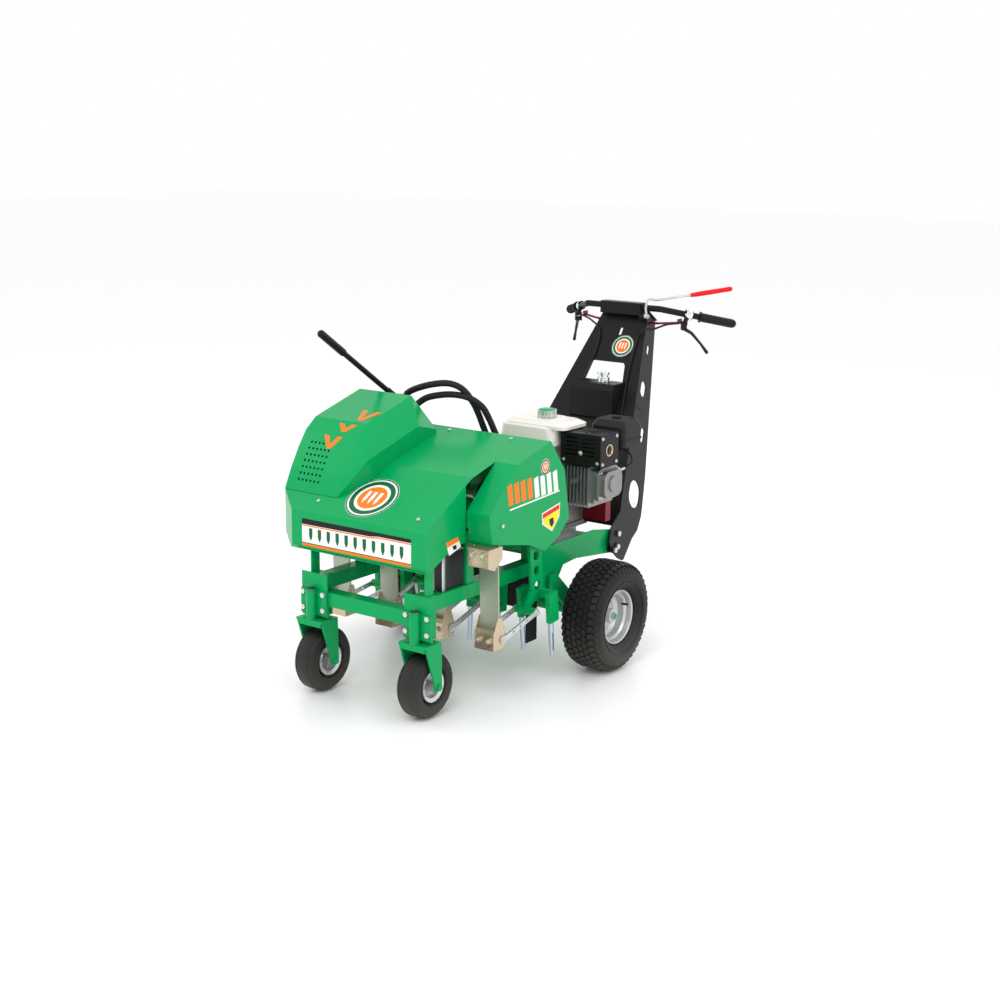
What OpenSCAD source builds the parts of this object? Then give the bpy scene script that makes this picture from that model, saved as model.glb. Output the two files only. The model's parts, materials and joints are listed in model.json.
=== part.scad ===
// Walk-behind core aerator: swivelling front casters, turf-tyred rear wheels, a crankshaft
// under the hood that drives four tine arms, spring strips and rocker links, a small engine
// with a hydraulic drive, and a folded handle tower with its controls.
// X points to the machine's left, -Y is the front, Z is up. Lengths are in millimetres.

/* [Wheels] */
// Rear tyre diameter
rear_tyre_d = 406; // [390:1:430]
// Rear tyre width
rear_tyre_w = 163; // [140:1:180]
// Rear wheels, centre to centre
rear_track = 870; // [820:2:960]
// Rear axle to caster axle
wheelbase = 799; // [760:1:840]
// Caster tyre diameter
caster_tyre_d = 229; // [200:1:240]
// Caster tyre width
caster_tyre_w = 89; // [70:1:92]
// Casters, centre to centre, and also the frame rails
caster_track = 456; // [440:2:500]
// Caster trail, swivel axis to wheel axle
caster_trail = 56; // [40:1:70]

/* [Frame] */
// Side of the square frame tube
rail_size = 50; // [40:1:60]
// Wall of the square frame tube
rail_wall = 4; // [2:0.5:6]
// Height of the top of the rails
rail_top = 418; // [405:1:440]
// Thickness of the side plates
plate_t = 6; // [4:1:10]
// Half width over the rear side plates
plate_half_w = 288; // [286:1:300]

/* [Covers] */
// Hood reach to the machine's right of the centre
hood_right = 422; // [415:1:460]
// Hood reach to the machine's left of the centre
hood_left = 265; // [255:1:275]
// Side cover reach to the machine's left of the centre
cover_left = 360; // [357:1:390]
// Sheet metal thickness of all covers
sheet_t = 2.5; // [1.5:0.5:4]

/* [Tine drive] */
// Distance between tine arms
arm_pitch = 220; // [214:1:226]
// Crank throw, half of the tine stroke
crank_throw = 26; // [20:1:27]
// Crankpin diameter
crankpin_d = 26; // [20:1:30]
// Tine outside diameter
tine_d = 19; // [14:1:22]
// Width of the spring strips
strip_w = 78; // [60:1:78]
// Thickness of the spring strips
strip_t = 6; // [4:0.5:8]
// Rocker link bar thickness
link_t = 6; // [4:0.5:6]

/* [Handle] */
// Lean of the handle tower from upright, in degrees
tower_lean = 33; // [28:1:36]
// Length of the tower's front plate
tower_len = 898; // [850:2:940]
// Width of the tower at its foot
tower_foot_w = 582; // [580:2:600]
// Width of the tower at its head
tower_head_w = 209; // [190:1:230]
// Thickness of the tower plate
tower_t = 4; // [3:0.5:6]
// Handlebar tube diameter
bar_d = 25; // [22:1:32]
// Width over the ends of the handlebar
bar_span = 800; // [760:10:860]

/* [Engine] */
// Height of the engine's base above the rails
engine_lift = 60; // [50:1:70]
// Crankcase width across the machine
engine_w = 220; // [200:1:240]
// Engine output shaft diameter
engine_shaft_d = 25; // [20:0.2:28]

/* [Hidden] */
$fn = 48;

run_gap = 0.05;
gap = 0.3;

// paint and finish colours
green = [0.0, 0.62, 0.33];
black = [0.15, 0.14, 0.14];
zinc_yellow = [0.78, 0.66, 0.42];
zinc = [0.72, 0.73, 0.74];
rubber = [0.12, 0.12, 0.12];

// wheels
rear_r = rear_tyre_d / 2;
rear_x = rear_track / 2;
caster_r = caster_tyre_d / 2;
caster_x = caster_track / 2;
swivel_y = -wheelbase - caster_trail;

// frame
rail_z0 = rail_top - rail_size;
post_w = 64;
post_front_y = swivel_y + 24;
post_rear_y = post_front_y + rail_size;
post_top = rail_top + 8;
post_foot = rail_z0 - 92;
cross_z0 = rail_z0 - 50;
rail_rear_y = 250;
flange_t = 6;
deck_t = 6;
deck_top = rail_top + deck_t;

// front swivel fittings
barrel_d = 36;
stem_d = 24;
barrel_z0 = post_foot + 6;
barrel_z1 = barrel_z0 + 90;
bracket_t = 6;
bracket_w = 116;
crown_z1 = post_foot - 6;
crown_t = 8;
fork_in = caster_tyre_w / 2 + 7;
fork_t = 7;
caster_bolt_dx = 45;
caster_bolt_z = [barrel_z0 + 22, barrel_z0 + 78];

// crank and tine linkage, in the YZ plane
crank_y = -302;
crank_z = rail_top + 237;
crank_phase = [180, 0, 90, 270];
arm_x = [1.5 * arm_pitch, 0.5 * arm_pitch, -0.5 * arm_pitch, -1.5 * arm_pitch];
boss_local = [-69, -365];
strip_pivot = [-556, rail_top - 182];
link_len = 203.7;
pin_half = 13;
cheek_t = 10;
cheek_r = crank_throw + crankpin_d / 2 + 8;
main_r = 17;
bearing_w = 34;
crank_left_x = arm_x[0] + pin_half;
sprocket_x = arm_x[3] - 60;
strip_half = strip_w / 2;
bracket_half = strip_half + 1;
link_in = bracket_half + 1;
link_out = link_in + link_t;
link_head = 4;
holder_in = link_out + link_head + 1;
holder_w = 20;
tine_x = holder_in + holder_w / 2;
boss_r = 14;
holder_top = -325;
holder_foot = -420;
tine_tip = -545;
tine_line = -11;

// covers, side outlines in YZ
front_y = -845;
fold_y = -594;
fold_z = 790;
roof_slope = 0.265;
roof_rear_y = -264;
roof_rear_z = fold_z + roof_slope * (roof_rear_y - fold_y);
hood_line = [[front_y + 15, 505], [front_y, 520], [front_y, 645], [fold_y, fold_z],
             [roof_rear_y, roof_rear_z], [-174, 761], [-142, 583]];
cover_line = [[-605, 576], [-624, 680], [-462, fold_z + roof_slope * (-462 - fold_y)],
              [roof_rear_y, roof_rear_z], [-174, 761], [-142, 583]];
drive_top = [[-770, 690], [-735, 762], [-695, 830], [-655, 885], [-604, 924], [-362, 993]];
drive_right = 181;
drive_side = 100;

// tower, placed at the foot of its front plate
tower_y = 309;
tower_z = rail_top + 32;
tower_taper = (tower_foot_w - tower_head_w) / 2 / tower_len;
tower_slant = atan(tower_taper);

// handlebar
bar_y = tower_y + (tower_len + 20) * sin(tower_lean) - 28;
bar_z = tower_z + (tower_len + 20) * cos(tower_lean) + 12;
bar_mid = 170;
bar_end = [bar_span / 2, bar_y + 212, bar_z - 62];
bar_dir = [bar_end[0] - bar_mid, 212, -62];
bar_arm = norm(bar_dir);
bar_u = bar_dir / bar_arm;
grip_len = 150;
grip_d = bar_d + 9;

// engage lever route, from its pivot bolt to the end of its grip
lever_pts = [[122, bar_y - 26, bar_z - 30], [122, bar_y - 26, bar_z + 32], [152, bar_y + 2, bar_z + 35],
             [246, bar_y + 118, bar_z + 52], [360, bar_y + 230, bar_z + 76]];
lever_grip_r = 10;

// whole object, for the origin
y_front = -wheelbase - caster_r;
y_rear = lever_pts[4][1] + lever_grip_r;
origin_y = (y_front + y_rear) / 2;

// engine
engine_z = rail_top + engine_lift;
shaft_z = engine_z + 132;
shaft_x = 60;
engine_front = -20;
case_x0 = shaft_x - engine_w / 2 + 30;
case_x1 = case_x0 + engine_w;

// functions
function unit(v) = v / norm(v);
function turn(p, a) = [p[0] * cos(a) - p[1] * sin(a), p[0] * sin(a) + p[1] * cos(a)];
function heading(p) = atan2(p[1], p[0]);
// the lower meeting point of a circle about p, radius a, and a circle about q, radius b
function meet(p, a, q, b) =
    let (d = norm(q - p), u = (q - p) / d, k = (a * a - b * b + d * d) / (2 * d), h = sqrt(a * a - k * k))
    p + u * k + [-u[1], u[0]] * h;
function pin_at(i) = [crank_y + crank_throw * cos(crank_phase[i]), crank_z + crank_throw * sin(crank_phase[i])];
function boss_at(i) = meet(pin_at(i), norm(boss_local), strip_pivot, link_len);
function arm_tilt(i) = heading(boss_at(i) - pin_at(i)) - heading(boss_local);
function normal2(a, b) = let (u = unit(b - a)) [u[1], -u[0]];
// a polyline moved sideways by t, with mitred corners
function beside(p, t) = [for (i = [0 : len(p) - 1])
    let (n0 = i > 0 ? normal2(p[i - 1], p[i]) : normal2(p[0], p[1]),
         n1 = i < len(p) - 1 ? normal2(p[i], p[i + 1]) : n0,
         m = unit(n0 + n1))
    p[i] + m * (t / (m * n1))];
function back_to_front(p) = [for (i = [len(p) - 1 : -1 : 0]) p[i]];
function side_frame(u) = let (r = abs(u[2]) > 0.9 ? [1, 0, 0] : [0, 0, 1], s = unit(cross(u, r)))
    [s, cross(s, u)];
function spline(p, n) = [for (i = [0 : len(p) - 2], k = [0 : n - 1])
    let (a = p[max(i - 1, 0)], b = p[i], c = p[i + 1], d = p[min(i + 2, len(p) - 1)], t = k / n)
    0.5 * ((2 * b) + (c - a) * t + (2 * a - 5 * b + 4 * c - d) * t * t + (3 * b - a - 3 * c + d) * t * t * t),
    p[len(p) - 1]];

// basic shapes
module place() {
    translate([0, -origin_y, 0]) children();
}
// a YZ outline extruded from x0 to x1
module slab(x0, x1, pts) {
    translate([x0, 0, 0]) rotate([90, 0, 90]) linear_extrude(x1 - x0) polygon(pts);
}
module rod_x(x0, x1, y, z, r) {
    translate([x0, y, z]) rotate([0, 90, 0]) cylinder(h = x1 - x0, r = r);
}
module rod_y(x, y0, y1, z, r) {
    translate([x, y0, z]) rotate([-90, 0, 0]) cylinder(h = y1 - y0, r = r);
}
module rod_z(x, y, z0, z1, r) {
    translate([x, y, z0]) cylinder(h = z1 - z0, r = r);
}
module box(lo, hi) {
    translate(lo) cube(hi - lo);
}
module both_sides() {
    children();
    mirror([1, 0, 0]) children();
}
module on_side(left) {
    if (left) children();
    else mirror([1, 0, 0]) children();
}
module rod_between(a, b, r) {
    d = b - a;
    translate(a) rotate([0, acos(d[2] / norm(d)), atan2(d[1], d[0])]) cylinder(h = norm(d), r = r);
}
module bent_rod(p, r) {
    for (i = [0 : len(p) - 2]) rod_between(p[i], p[i + 1], r);
    for (q = p) translate(q) sphere(r = r + 0.15);
}
module sheet(x0, x1, line, t) {
    slab(x0, x1, concat(line, back_to_front(beside(line, t))));
}
module square_tube_y(x, y0, y1, z0, size, wall) {
    difference() {
        box([x - size / 2, y0, z0], [x + size / 2, y1, z0 + size]);
        box([x - size / 2 + wall, y0 - 1, z0 + wall], [x + size / 2 - wall, y1 + 1, z0 + size - wall]);
    }
}
module square_tube_x(x0, x1, y0, z0, size, wall) {
    difference() {
        box([x0, y0, z0], [x1, y0 + size, z0 + size]);
        box([x0 - 1, y0 + wall, z0 + wall], [x1 + 1, y0 + size - wall, z0 + size - wall]);
    }
}
module hex_bolt(af, head, shank_r, shank) {
    cylinder(h = head, d = af / cos(30), $fn = 6);
    translate([0, 0, -shank]) cylinder(h = shank + 1, r = shank_r);
}
module slot2d(w, l) {
    square([w, l - w], center = true);
    for (s = [-1, 1]) translate([0, s * (l - w) / 2]) circle(d = w);
}
// a tube swept along a route as one polyhedron
module swept_tube(route, r, sides) {
    n = len(route);
    ring = [for (i = [0 : n - 1])
        let (u = unit(route[min(i + 1, n - 1)] - route[max(i - 1, 0)]), f = side_frame(u))
        for (k = [0 : sides - 1])
            route[i] + r * (f[0] * cos(360 * k / sides) + f[1] * sin(360 * k / sides))];
    walls = [for (i = [0 : n - 2], k = [0 : sides - 1])
        let (a = i * sides + k, b = i * sides + (k + 1) % sides)
        for (t = [[a, b, b + sides], [a, b + sides, a + sides]]) t];
    start = [[for (k = [sides - 1 : -1 : 0]) k]];
    finish = [[for (k = [0 : sides - 1]) (n - 1) * sides + k]];
    polyhedron(points = ring, faces = concat(walls, start, finish));
}

// ---- frame ----
module frame_rails() {
    color(green) place() both_sides()
        square_tube_y(caster_x, post_rear_y, rail_rear_y, rail_z0, rail_size, rail_wall);
}

module front_frame() {
    inner = caster_x - post_w / 2;
    color(green) place() {
        difference() {
            union() {
                both_sides() {
                    box([inner, post_front_y, post_foot], [inner + post_w, post_rear_y, post_top]);
                    box([caster_x - bracket_w / 2, post_front_y - flange_t, post_foot],
                        [caster_x + bracket_w / 2, post_front_y, post_top + 4]);
                }
                square_tube_x(-inner, inner, post_front_y, cross_z0, rail_size, rail_wall);
            }
            both_sides() {
                box([inner + rail_wall, post_front_y + rail_wall, post_foot - 1],
                    [inner + post_w - rail_wall, post_rear_y - rail_wall, post_top - rail_wall]);
                caster_bolt_places() translate([0, 0, -40]) cylinder(h = 60, d = 10.5);
            }
        }
    }
}

module caster_bolt_places() {
    for (dx = [-caster_bolt_dx, caster_bolt_dx], z = caster_bolt_z)
        translate([caster_x + dx, post_front_y - flange_t, z]) rotate([90, 0, 0]) children();
}

// cross beam that the spring strips hang from, its uprights and the hood's front supports
beam_y0 = -598;
beam_size = 40;
beam_z0 = 566;
module spring_beam() {
    color(green) place() {
        square_tube_x(-arm_x[0] - strip_half - 6, cover_left - sheet_t - 3, beam_y0, beam_z0, beam_size, 3);
        both_sides() {
            box([caster_x - 20, beam_y0, rail_top], [caster_x + 20, beam_y0 + beam_size, beam_z0]);
            box([caster_x + 19, post_front_y + 4, post_top], [caster_x + 25, post_rear_y - 6, 540]);
            box([caster_x + 11, front_y + sheet_t + gap, 524], [caster_x + 25, post_rear_y - 30, 540]);
        }
    }
}

plate_line = [[-204, 306], [-204, 386], [-228, 394], [-228, 468], [-92, 470], [140, 470], [312, 440], [308, 352], [225, 362], [20, 386],
              [-62, 380], [-120, 306]];
module rear_frame() {
    color(green) place() difference() {
        union() {
            both_sides() slab(plate_half_w - plate_t, plate_half_w, plate_line);
            box([-plate_half_w + plate_t, -150, rail_top], [plate_half_w - plate_t, rail_rear_y, deck_top]);
            both_sides() box([plate_half_w - plate_t - 30, -228, 440], [plate_half_w - plate_t, -222, 468]);
        }
        rod_x(-plate_half_w - 5, plate_half_w + 5, carrier_y, carrier_z, carrier_pivot_r + run_gap);
        both_sides() for (p = tower_bolts) rod_x(plate_half_w - 20, plate_half_w + 5, p[0], p[1], 5.25);
    }
}
tower_bolts = [[297, 427], [275, 382], [250, 374]];

// ---- rear wheels and the carrier that they are raised and lowered with ----
carrier_y = -150;
carrier_z = 342;
carrier_pivot_r = 14;
carrier_in = plate_half_w + 6;
carrier_t = 12;
axle_r = 16;
hub_in = rear_x - 36;
module wheel_carrier() {
    color(green) place() {
        both_sides() difference() {
            slab(carrier_in, carrier_in + carrier_t, [[carrier_y - 26, carrier_z - 10],
                [carrier_y - 20, carrier_z + 22], [carrier_y + 14, carrier_z + 26], [10, rear_r + 32],
                [34, rear_r + 6], [22, rear_r - 26], [-14, rear_r - 30]]);
            rod_x(carrier_in - 1, carrier_in + carrier_t + 1, 0, rear_r, axle_r - 4);
        }
        rod_x(-carrier_in - 1, carrier_in + 1, carrier_y, carrier_z, carrier_pivot_r);
        difference() {
            rod_x(-carrier_in, carrier_in, 0, rear_r, 26);
            rod_x(-carrier_in + 8, carrier_in - 8, 0, rear_r, 21);
        }
        both_sides() {
            rod_x(carrier_in + carrier_t - 1, rear_x + 30, 0, rear_r, axle_r);
            rod_x(carrier_in + carrier_t - 1, hub_in - 2, 0, rear_r, 24);
            rod_x(rear_x + 29, rear_x + 42, 0, rear_r, axle_r - 5);
        }
    }
}

rear_rim_r = 101;
module rear_rim(left) {
    half = rear_tyre_w / 2;
    color("gainsboro") place() on_side(left) translate([rear_x, 0, rear_r]) rotate([0, 90, 0])
        rotate_extrude($fn = 64) union() {
            polygon([[rear_rim_r, half - 26], [rear_rim_r - 4, half - 24], [rear_rim_r - 8, half - 28],
                     [rear_rim_r - 12, half - 44], [rear_rim_r - 22, half - 52], [rear_rim_r - 24, 6],
                     [rear_rim_r - 40, -2], [58, -2], [46, 10], [26, 12], [26, 34], [axle_r + run_gap, 34],
                     [axle_r + run_gap, -36], [26, -36], [26, 4], [44, 4], [56, -10], [rear_rim_r - 38, -10],
                     [rear_rim_r - 22, -4], [rear_rim_r - 22, 28 - half], [rear_rim_r - 4, 24 - half],
                     [rear_rim_r, 26 - half], [rear_rim_r, 30 - half], [rear_rim_r - 16, 32 - half],
                     [rear_rim_r - 16, half - 50], [rear_rim_r - 4, half - 32]]);
        }
}
// half of a tyre's section from its bead to its crown, for a wall of thickness w inside
function tyre_side(r, half, seat, sh, w) = concat(
    [[seat, half - 24 - w], [seat + 14, half - 12 - w]],
    [for (a = [0 : 15 : 90]) [r - sh + (sh - w) * sin(a), half - sh + (sh - w) * cos(a)]]);
function flip(p) = [for (q = p) [q[0], -q[1]]];
module tyre_ring(r, half, seat, sh, wall) {
    outer = tyre_side(r, half, seat, sh, 0);
    inner = tyre_side(r, half, seat, sh, wall);
    rotate([0, 90, 0]) rotate_extrude($fn = 96)
        polygon(concat(outer, back_to_front(flip(outer)), flip(inner), back_to_front(inner)));
}
module rear_tyre(left) {
    color(rubber) place() on_side(left) translate([rear_x, 0, rear_r])
        tyre_ring(rear_r, rear_tyre_w / 2, rear_rim_r + gap, 36, 9);
}

// ---- front swivel casters ----
module caster_brackets() {
    face = post_front_y - flange_t;
    color(green) place() both_sides() difference() {
        union() {
            box([caster_x - bracket_w / 2, face - bracket_t, post_foot + 7],
                [caster_x + bracket_w / 2, face, barrel_z1 - 1]);
            rod_z(caster_x, swivel_y, barrel_z0, barrel_z1, barrel_d / 2);
            box([caster_x - 11, swivel_y, barrel_z0 + 4], [caster_x + 11, face - 1, barrel_z1 - 8]);
        }
        rod_z(caster_x, swivel_y, barrel_z0 - 1, barrel_z1 + 1, stem_d / 2 + run_gap);
        caster_bolt_places() translate([0, 0, -40]) cylinder(h = 60, d = 10.5);
    }
}
crown_back = 70;
fork_leg = [[swivel_y - 14, crown_z1], [swivel_y + crown_back, crown_z1], [swivel_y + crown_back + 2, crown_z1 - 40],
            [18 - wheelbase, caster_r + 4], [12 - wheelbase, caster_r - 14],
            [-12 - wheelbase, caster_r - 15], [-19 - wheelbase, caster_r + 4]];
caster_axle_r = 8;
module caster_fork(left) {
    color(green) place() on_side(left) translate([caster_x, 0, 0]) {
        box([-fork_in - fork_t, swivel_y - 14, crown_z1 - crown_t], [fork_in + fork_t, swivel_y + crown_back, crown_z1]);
        box([-fork_in - 1, swivel_y - 14, crown_z1 - 22], [fork_in + 1, swivel_y - 9, crown_z1]);
        rod_z(0, swivel_y, crown_z1 - 2, barrel_z1 + 5, stem_d / 2);
        rod_z(0, swivel_y, barrel_z1 + run_gap, barrel_z1 + 7, stem_d / 2 + 5);
        rod_z(0, swivel_y, crown_z1 - 1, barrel_z0 - run_gap, stem_d / 2 + 5);
        both_sides() difference() {
            slab(fork_in, fork_in + fork_t, fork_leg);
            rod_x(fork_in - 1, fork_in + fork_t + 1, -wheelbase, caster_r, caster_axle_r - 2);
        }
        rod_x(-fork_in - fork_t - 6, fork_in + fork_t + 6, -wheelbase, caster_r, caster_axle_r);
        both_sides() translate([fork_in + fork_t, -wheelbase, caster_r]) rotate([0, 90, 0])
            cylinder(h = 8, d = 22, $fn = 6);
    }
}
caster_rim_r = 56;
module caster_rim(left) {
    half = caster_tyre_w / 2;
    hub = fork_in - 2;
    color("silver") place() on_side(left) translate([caster_x, -wheelbase, caster_r]) rotate([0, 90, 0])
        rotate_extrude($fn = 64) polygon([[caster_axle_r + run_gap, -hub], [18, -hub], [18, -8],
            [caster_rim_r - 16, -3], [caster_rim_r - 14, 12 - half], [caster_rim_r, 8 - half],
            [caster_rim_r, -12], [caster_rim_r - 10, -9], [caster_rim_r - 10, 9],
            [caster_rim_r, 12], [caster_rim_r, half - 8], [caster_rim_r - 14, half - 12],
            [caster_rim_r - 16, 3], [18, 8], [18, hub], [caster_axle_r + run_gap, hub]]);
}
module caster_tyre(left) {
    color(rubber) place() on_side(left) translate([caster_x, -wheelbase, caster_r])
        tyre_ring(caster_r, caster_tyre_w / 2, caster_rim_r + gap, 30, 7);
}

// ---- covers ----
side_edge = [[-142, 583], [-199, 530], [-290, 490], [-389, 532], [-605, 576], [-653, 573], [-737, 550]];
module front_hood() {
    color(green) place() {
        difference() {
            union() {
                sheet(-hood_right, hood_left, hood_line, sheet_t);
                slab(-hood_right, -hood_right + sheet_t, concat(hood_line, side_edge));
            }
            // cut corner at the machine's front right
            translate([-hood_right, -768, 480]) rotate([0, 0, atan2(-77, 100)]) translate([-40, -200, 0])
                cube([300, 200, 400]);
            // way for the chain and the hydraulic lines under the drive cover
            box([-hood_right + 10, -520, 700], [-drive_side - 60, -340, 900]);
        }
        intersection() {
            slab(-hood_right, hood_left, concat(hood_line, side_edge));
            translate([-hood_right, -768, 480]) rotate([0, 0, atan2(-77, 100)])
                cube([126, sheet_t, 400]);
        }
        for (x = [density_pivot[0] - 20, density_pivot[0] + 14]) slab(x, x + 6, [[-306, 866], [-290, 940],
            [-262, 972], [-236, 968], [-224, 940], [-216, 817], [-264, roof_rear_z - 1]]);
        rod_x(density_pivot[0] - 19, density_pivot[0] + 19, density_pivot[1], density_pivot[2], 8);
        slab(hood_left - sheet_t, hood_left, [[front_y + 15, 505], [front_y, 520], [front_y, 645],
             [-627, fold_z + (-627 - fold_y) * 0.577], [-627, 574], [-653, 573], [-737, 550]]);
    }
}
module side_cover() {
    color(green) place() {
        sheet(hood_left + gap, cover_left, cover_line, sheet_t);
        slab(cover_left - sheet_t, cover_left, concat(cover_line, [[-199, 530], [-290, 490], [-389, 532]]));
    }
}
// the drive cover's closed form, drawn in by d on every side but its foot
module drive_form(d) {
    top = [for (i = [0 : len(drive_top) - 1]) drive_top[i] - [0, i == 0 ? 0 : d]];
    rear = [drive_top[5][0] + 42, 874 - d];
    hull() {
        slab(-hood_right + d, -hood_right + d + 1, concat(top, [rear, [rear[0], 700]]));
        slab(-drive_right - d - 1, -drive_right - d, concat(top, [rear, [rear[0], 700]]));
        slab(-drive_side - d - 1, -drive_side - d, [[-699, 820 - d], [-421, 899 - d],
             [rear[0], 874 - d], [rear[0], 700], [-640, 700]]);
    }
}
module drive_cover() {
    under = concat([[front_y, 400]], [[front_y, 645], [fold_y, fold_z], [0, fold_z - roof_slope * fold_y]],
                   [[0, 400]]);
    color(green) place() difference() {
        drive_form(0);
        translate([0, 1, 0]) drive_form(sheet_t);
        translate([0, 0, gap]) slab(-hood_right - 50, 0, under);
        // breather holes, seven rows of six
        for (row = [0 : 6], col = [0 : 5])
            translate([-372 + col * 18, -752 + row * 10.5, 728 + row * 21]) rotate([60, 0, 0])
                cylinder(h = 60, d = 9, center = true, $fn = 16);
    }
}

// ---- tine drive ----
module disc_x(x0, w, y, z, r) {
    rod_x(x0, x0 + w, y, z, r);
}
module crankshaft() {
    color("silver") place() {
        for (i = [0 : 3]) {
            p = pin_at(i);
            rod_x(arm_x[i] - pin_half, arm_x[i] + pin_half, p[0], p[1], crankpin_d / 2);
            disc_x(arm_x[i] - pin_half - cheek_t, cheek_t, crank_y, crank_z, cheek_r);
            if (i > 0) disc_x(arm_x[i] + pin_half, cheek_t, crank_y, crank_z, cheek_r);
            else disc_x(arm_x[i] + pin_half, 3, p[0], p[1], crankpin_d / 2 + 5);
        }
        for (i = [0 : 2])
            rod_x(arm_x[i + 1] + pin_half + cheek_t - 1, arm_x[i] - pin_half - cheek_t + 1, crank_y, crank_z, main_r);
        rod_x(sprocket_x - 12, arm_x[3] - pin_half - cheek_t + 1, crank_y, crank_z, main_r);
        sprocket(sprocket_x, crank_y, crank_z, crank_teeth);
    }
}
chain_pitch = 19.05;
crank_teeth = 24;
motor_teeth = 12;
function pitch_r(n) = chain_pitch / 2 / sin(180 / n);
module sprocket(x, y, z, n) {
    r = pitch_r(n);
    translate([x - 4, y, z]) rotate([0, 90, 0]) difference() {
        cylinder(h = 8, r = r + 3);
        for (k = [0 : n - 1]) rotate([0, 0, k * 360 / n]) translate([r, 0, -1]) cylinder(h = 10, r = 5.6, $fn = 24);
        if (n > 16) for (k = [0 : 5]) rotate([0, 0, k * 60]) translate([r * 0.58, 0, -1]) cylinder(h = 10, d = 26);
    }
}
motor_y = -470;
motor_z = 880;
motor_x1 = -180;
module motor_sprocket() {
    color("silver") place() {
        sprocket(sprocket_x, motor_y, motor_z, motor_teeth);
        rod_x(sprocket_x - 14, sprocket_x - 3, motor_y, motor_z, 22);
        rod_x(sprocket_x - 14, motor_x1 - 118, motor_y, motor_z, 12);
    }
}
module drive_chain() {
    centres = [motor_y - crank_y, motor_z - crank_z];
    far = norm(centres);
    lean = heading(centres);
    r0 = pitch_r(crank_teeth);
    r1 = pitch_r(motor_teeth);
    wrap = acos((r0 - r1) / far);
    loop = concat([for (a = [wrap : (360 - 2 * wrap) / 24 : 360 - wrap]) [a, r0, 0]],
                  [for (a = [-wrap : 2 * wrap / 12 : wrap]) [a, r1, far]]);
    function at(d) = [for (q = loop) [q[2] + (q[1] + d) * cos(q[0]), (q[1] + d) * sin(q[0])]];
    color("dimgray") place() translate([sprocket_x + 4 + gap, crank_y, crank_z]) rotate([90, 0, 90]) rotate([0, 0, lean])
        linear_extrude(4) difference() {
            polygon(at(7));
            polygon(at(-7));
        }
}
module hydraulic_motor() {
    color("dimgray") place() difference() {
        union() {
            rod_x(motor_x1 - 112, motor_x1, motor_y, motor_z, 46);
            box([motor_x1 - 118, motor_y - 55, motor_z - 55], [motor_x1 - 106, motor_y + 55, motor_z + 55]);
            for (dx = [28, 62]) rod_y(motor_x1 - dx, motor_y + 20, port_y, motor_z + 22, 15);
            box([motor_x1 - 118, motor_y - 40, motor_roof], [motor_x1 - 106, motor_y + 40, motor_z - 50]);
        }
        rod_x(motor_x1 - 119, motor_x1 - 40, motor_y, motor_z, 12 + run_gap);
    }
}
motor_roof = 824;
bearing_x = [arm_pitch, 0, -arm_pitch];
module crank_bearings() {
    color("slategray") place() for (x = bearing_x) difference() {
        union() {
            rod_x(x - bearing_w / 2, x + bearing_w / 2, crank_y, crank_z, 36);
            box([x - bearing_w / 2, crank_y + 10, crank_z - 44], [x + bearing_w / 2, stand_y + 40, crank_z - 10]);
        }
        rod_x(x - bearing_w, x + bearing_w, crank_y, crank_z, main_r + run_gap);
    }
    // their stand across the rails, behind the tine arms
    color(green) place() {
        square_tube_x(-arm_x[0] + 62, arm_x[0] - 62, stand_y, stand_z, 40, 3);
        both_sides() box([caster_x - 18, stand_y + 2, rail_top], [caster_x + 18, stand_y + 38, stand_z + 1]);
        for (x = bearing_x) box([x - bearing_w / 2, stand_y, stand_z + 39],
                                [x + bearing_w / 2, stand_y + 40, crank_z - 20]);
    }
}
stand_y = crank_y + crank_throw + 52;
stand_z = 560;
// a tine arm in its own plane, its big end at the origin
module arm_form() {
    difference() {
        union() {
            rod_x(-pin_half + 0.5, pin_half - 0.5, 0, 0, crankpin_d / 2 + 9);
            slab(-6, 6, [[-35, -14], [35, -14], [35, holder_top + 6], [24, holder_top - 26], [-24, holder_top - 22],
                         [boss_local[0] - 6, boss_local[1] - 12], [boss_local[0] - 8, boss_local[1] + 12],
                         [-35, holder_top + 26]]);
            rod_x(-bracket_half, bracket_half, boss_local[0], boss_local[1], boss_r);
            box([-holder_in - holder_w, 6, holder_top - 16], [holder_in + holder_w, 28, holder_top + 14]);
            both_sides() box([holder_in, tine_line - 12, holder_foot], [holder_in + holder_w, 28, holder_top + 14]);
            both_sides() rod_x(holder_in + holder_w - 1, holder_in + holder_w + 6, tine_line, holder_foot + 26, 6);
        }
        rod_x(-20, 20, 0, 0, crankpin_d / 2 + run_gap);
        for (z = [-182, -238, -294]) rod_x(-10, 10, 0, z, 17);
        rod_x(-60, 60, boss_local[0], boss_local[1], 6);
        both_sides() rod_z(tine_x, tine_line, holder_foot - 1, holder_top - 20, 8);
    }
}
module on_arm(i) {
    p = pin_at(i);
    translate([arm_x[i], p[0], p[1]]) rotate([arm_tilt(i), 0, 0]) children();
}
module tine_arm(i) {
    color(green) place() on_arm(i) arm_form();
}
module tine_pair(i) {
    color("lightsteelblue") place() on_arm(i) both_sides() difference() {
        union() {
            rod_z(tine_x, tine_line, holder_foot - 2, holder_top - 20, 8);
            rod_z(tine_x, tine_line, holder_foot - 60, holder_foot, tine_d / 2);
            translate([tine_x, tine_line, tine_tip]) cylinder(h = holder_foot - 60 - tine_tip, r1 = tine_d / 2 - 2.5, r2 = tine_d / 2);
        }
        rod_z(tine_x, tine_line, tine_tip - 1, holder_foot - 30, tine_d / 2 - 4);
        box([tine_x, tine_line - 4, tine_tip + 22], [tine_x + 20, tine_line + 4, holder_foot - 36]);
    }
}
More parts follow.
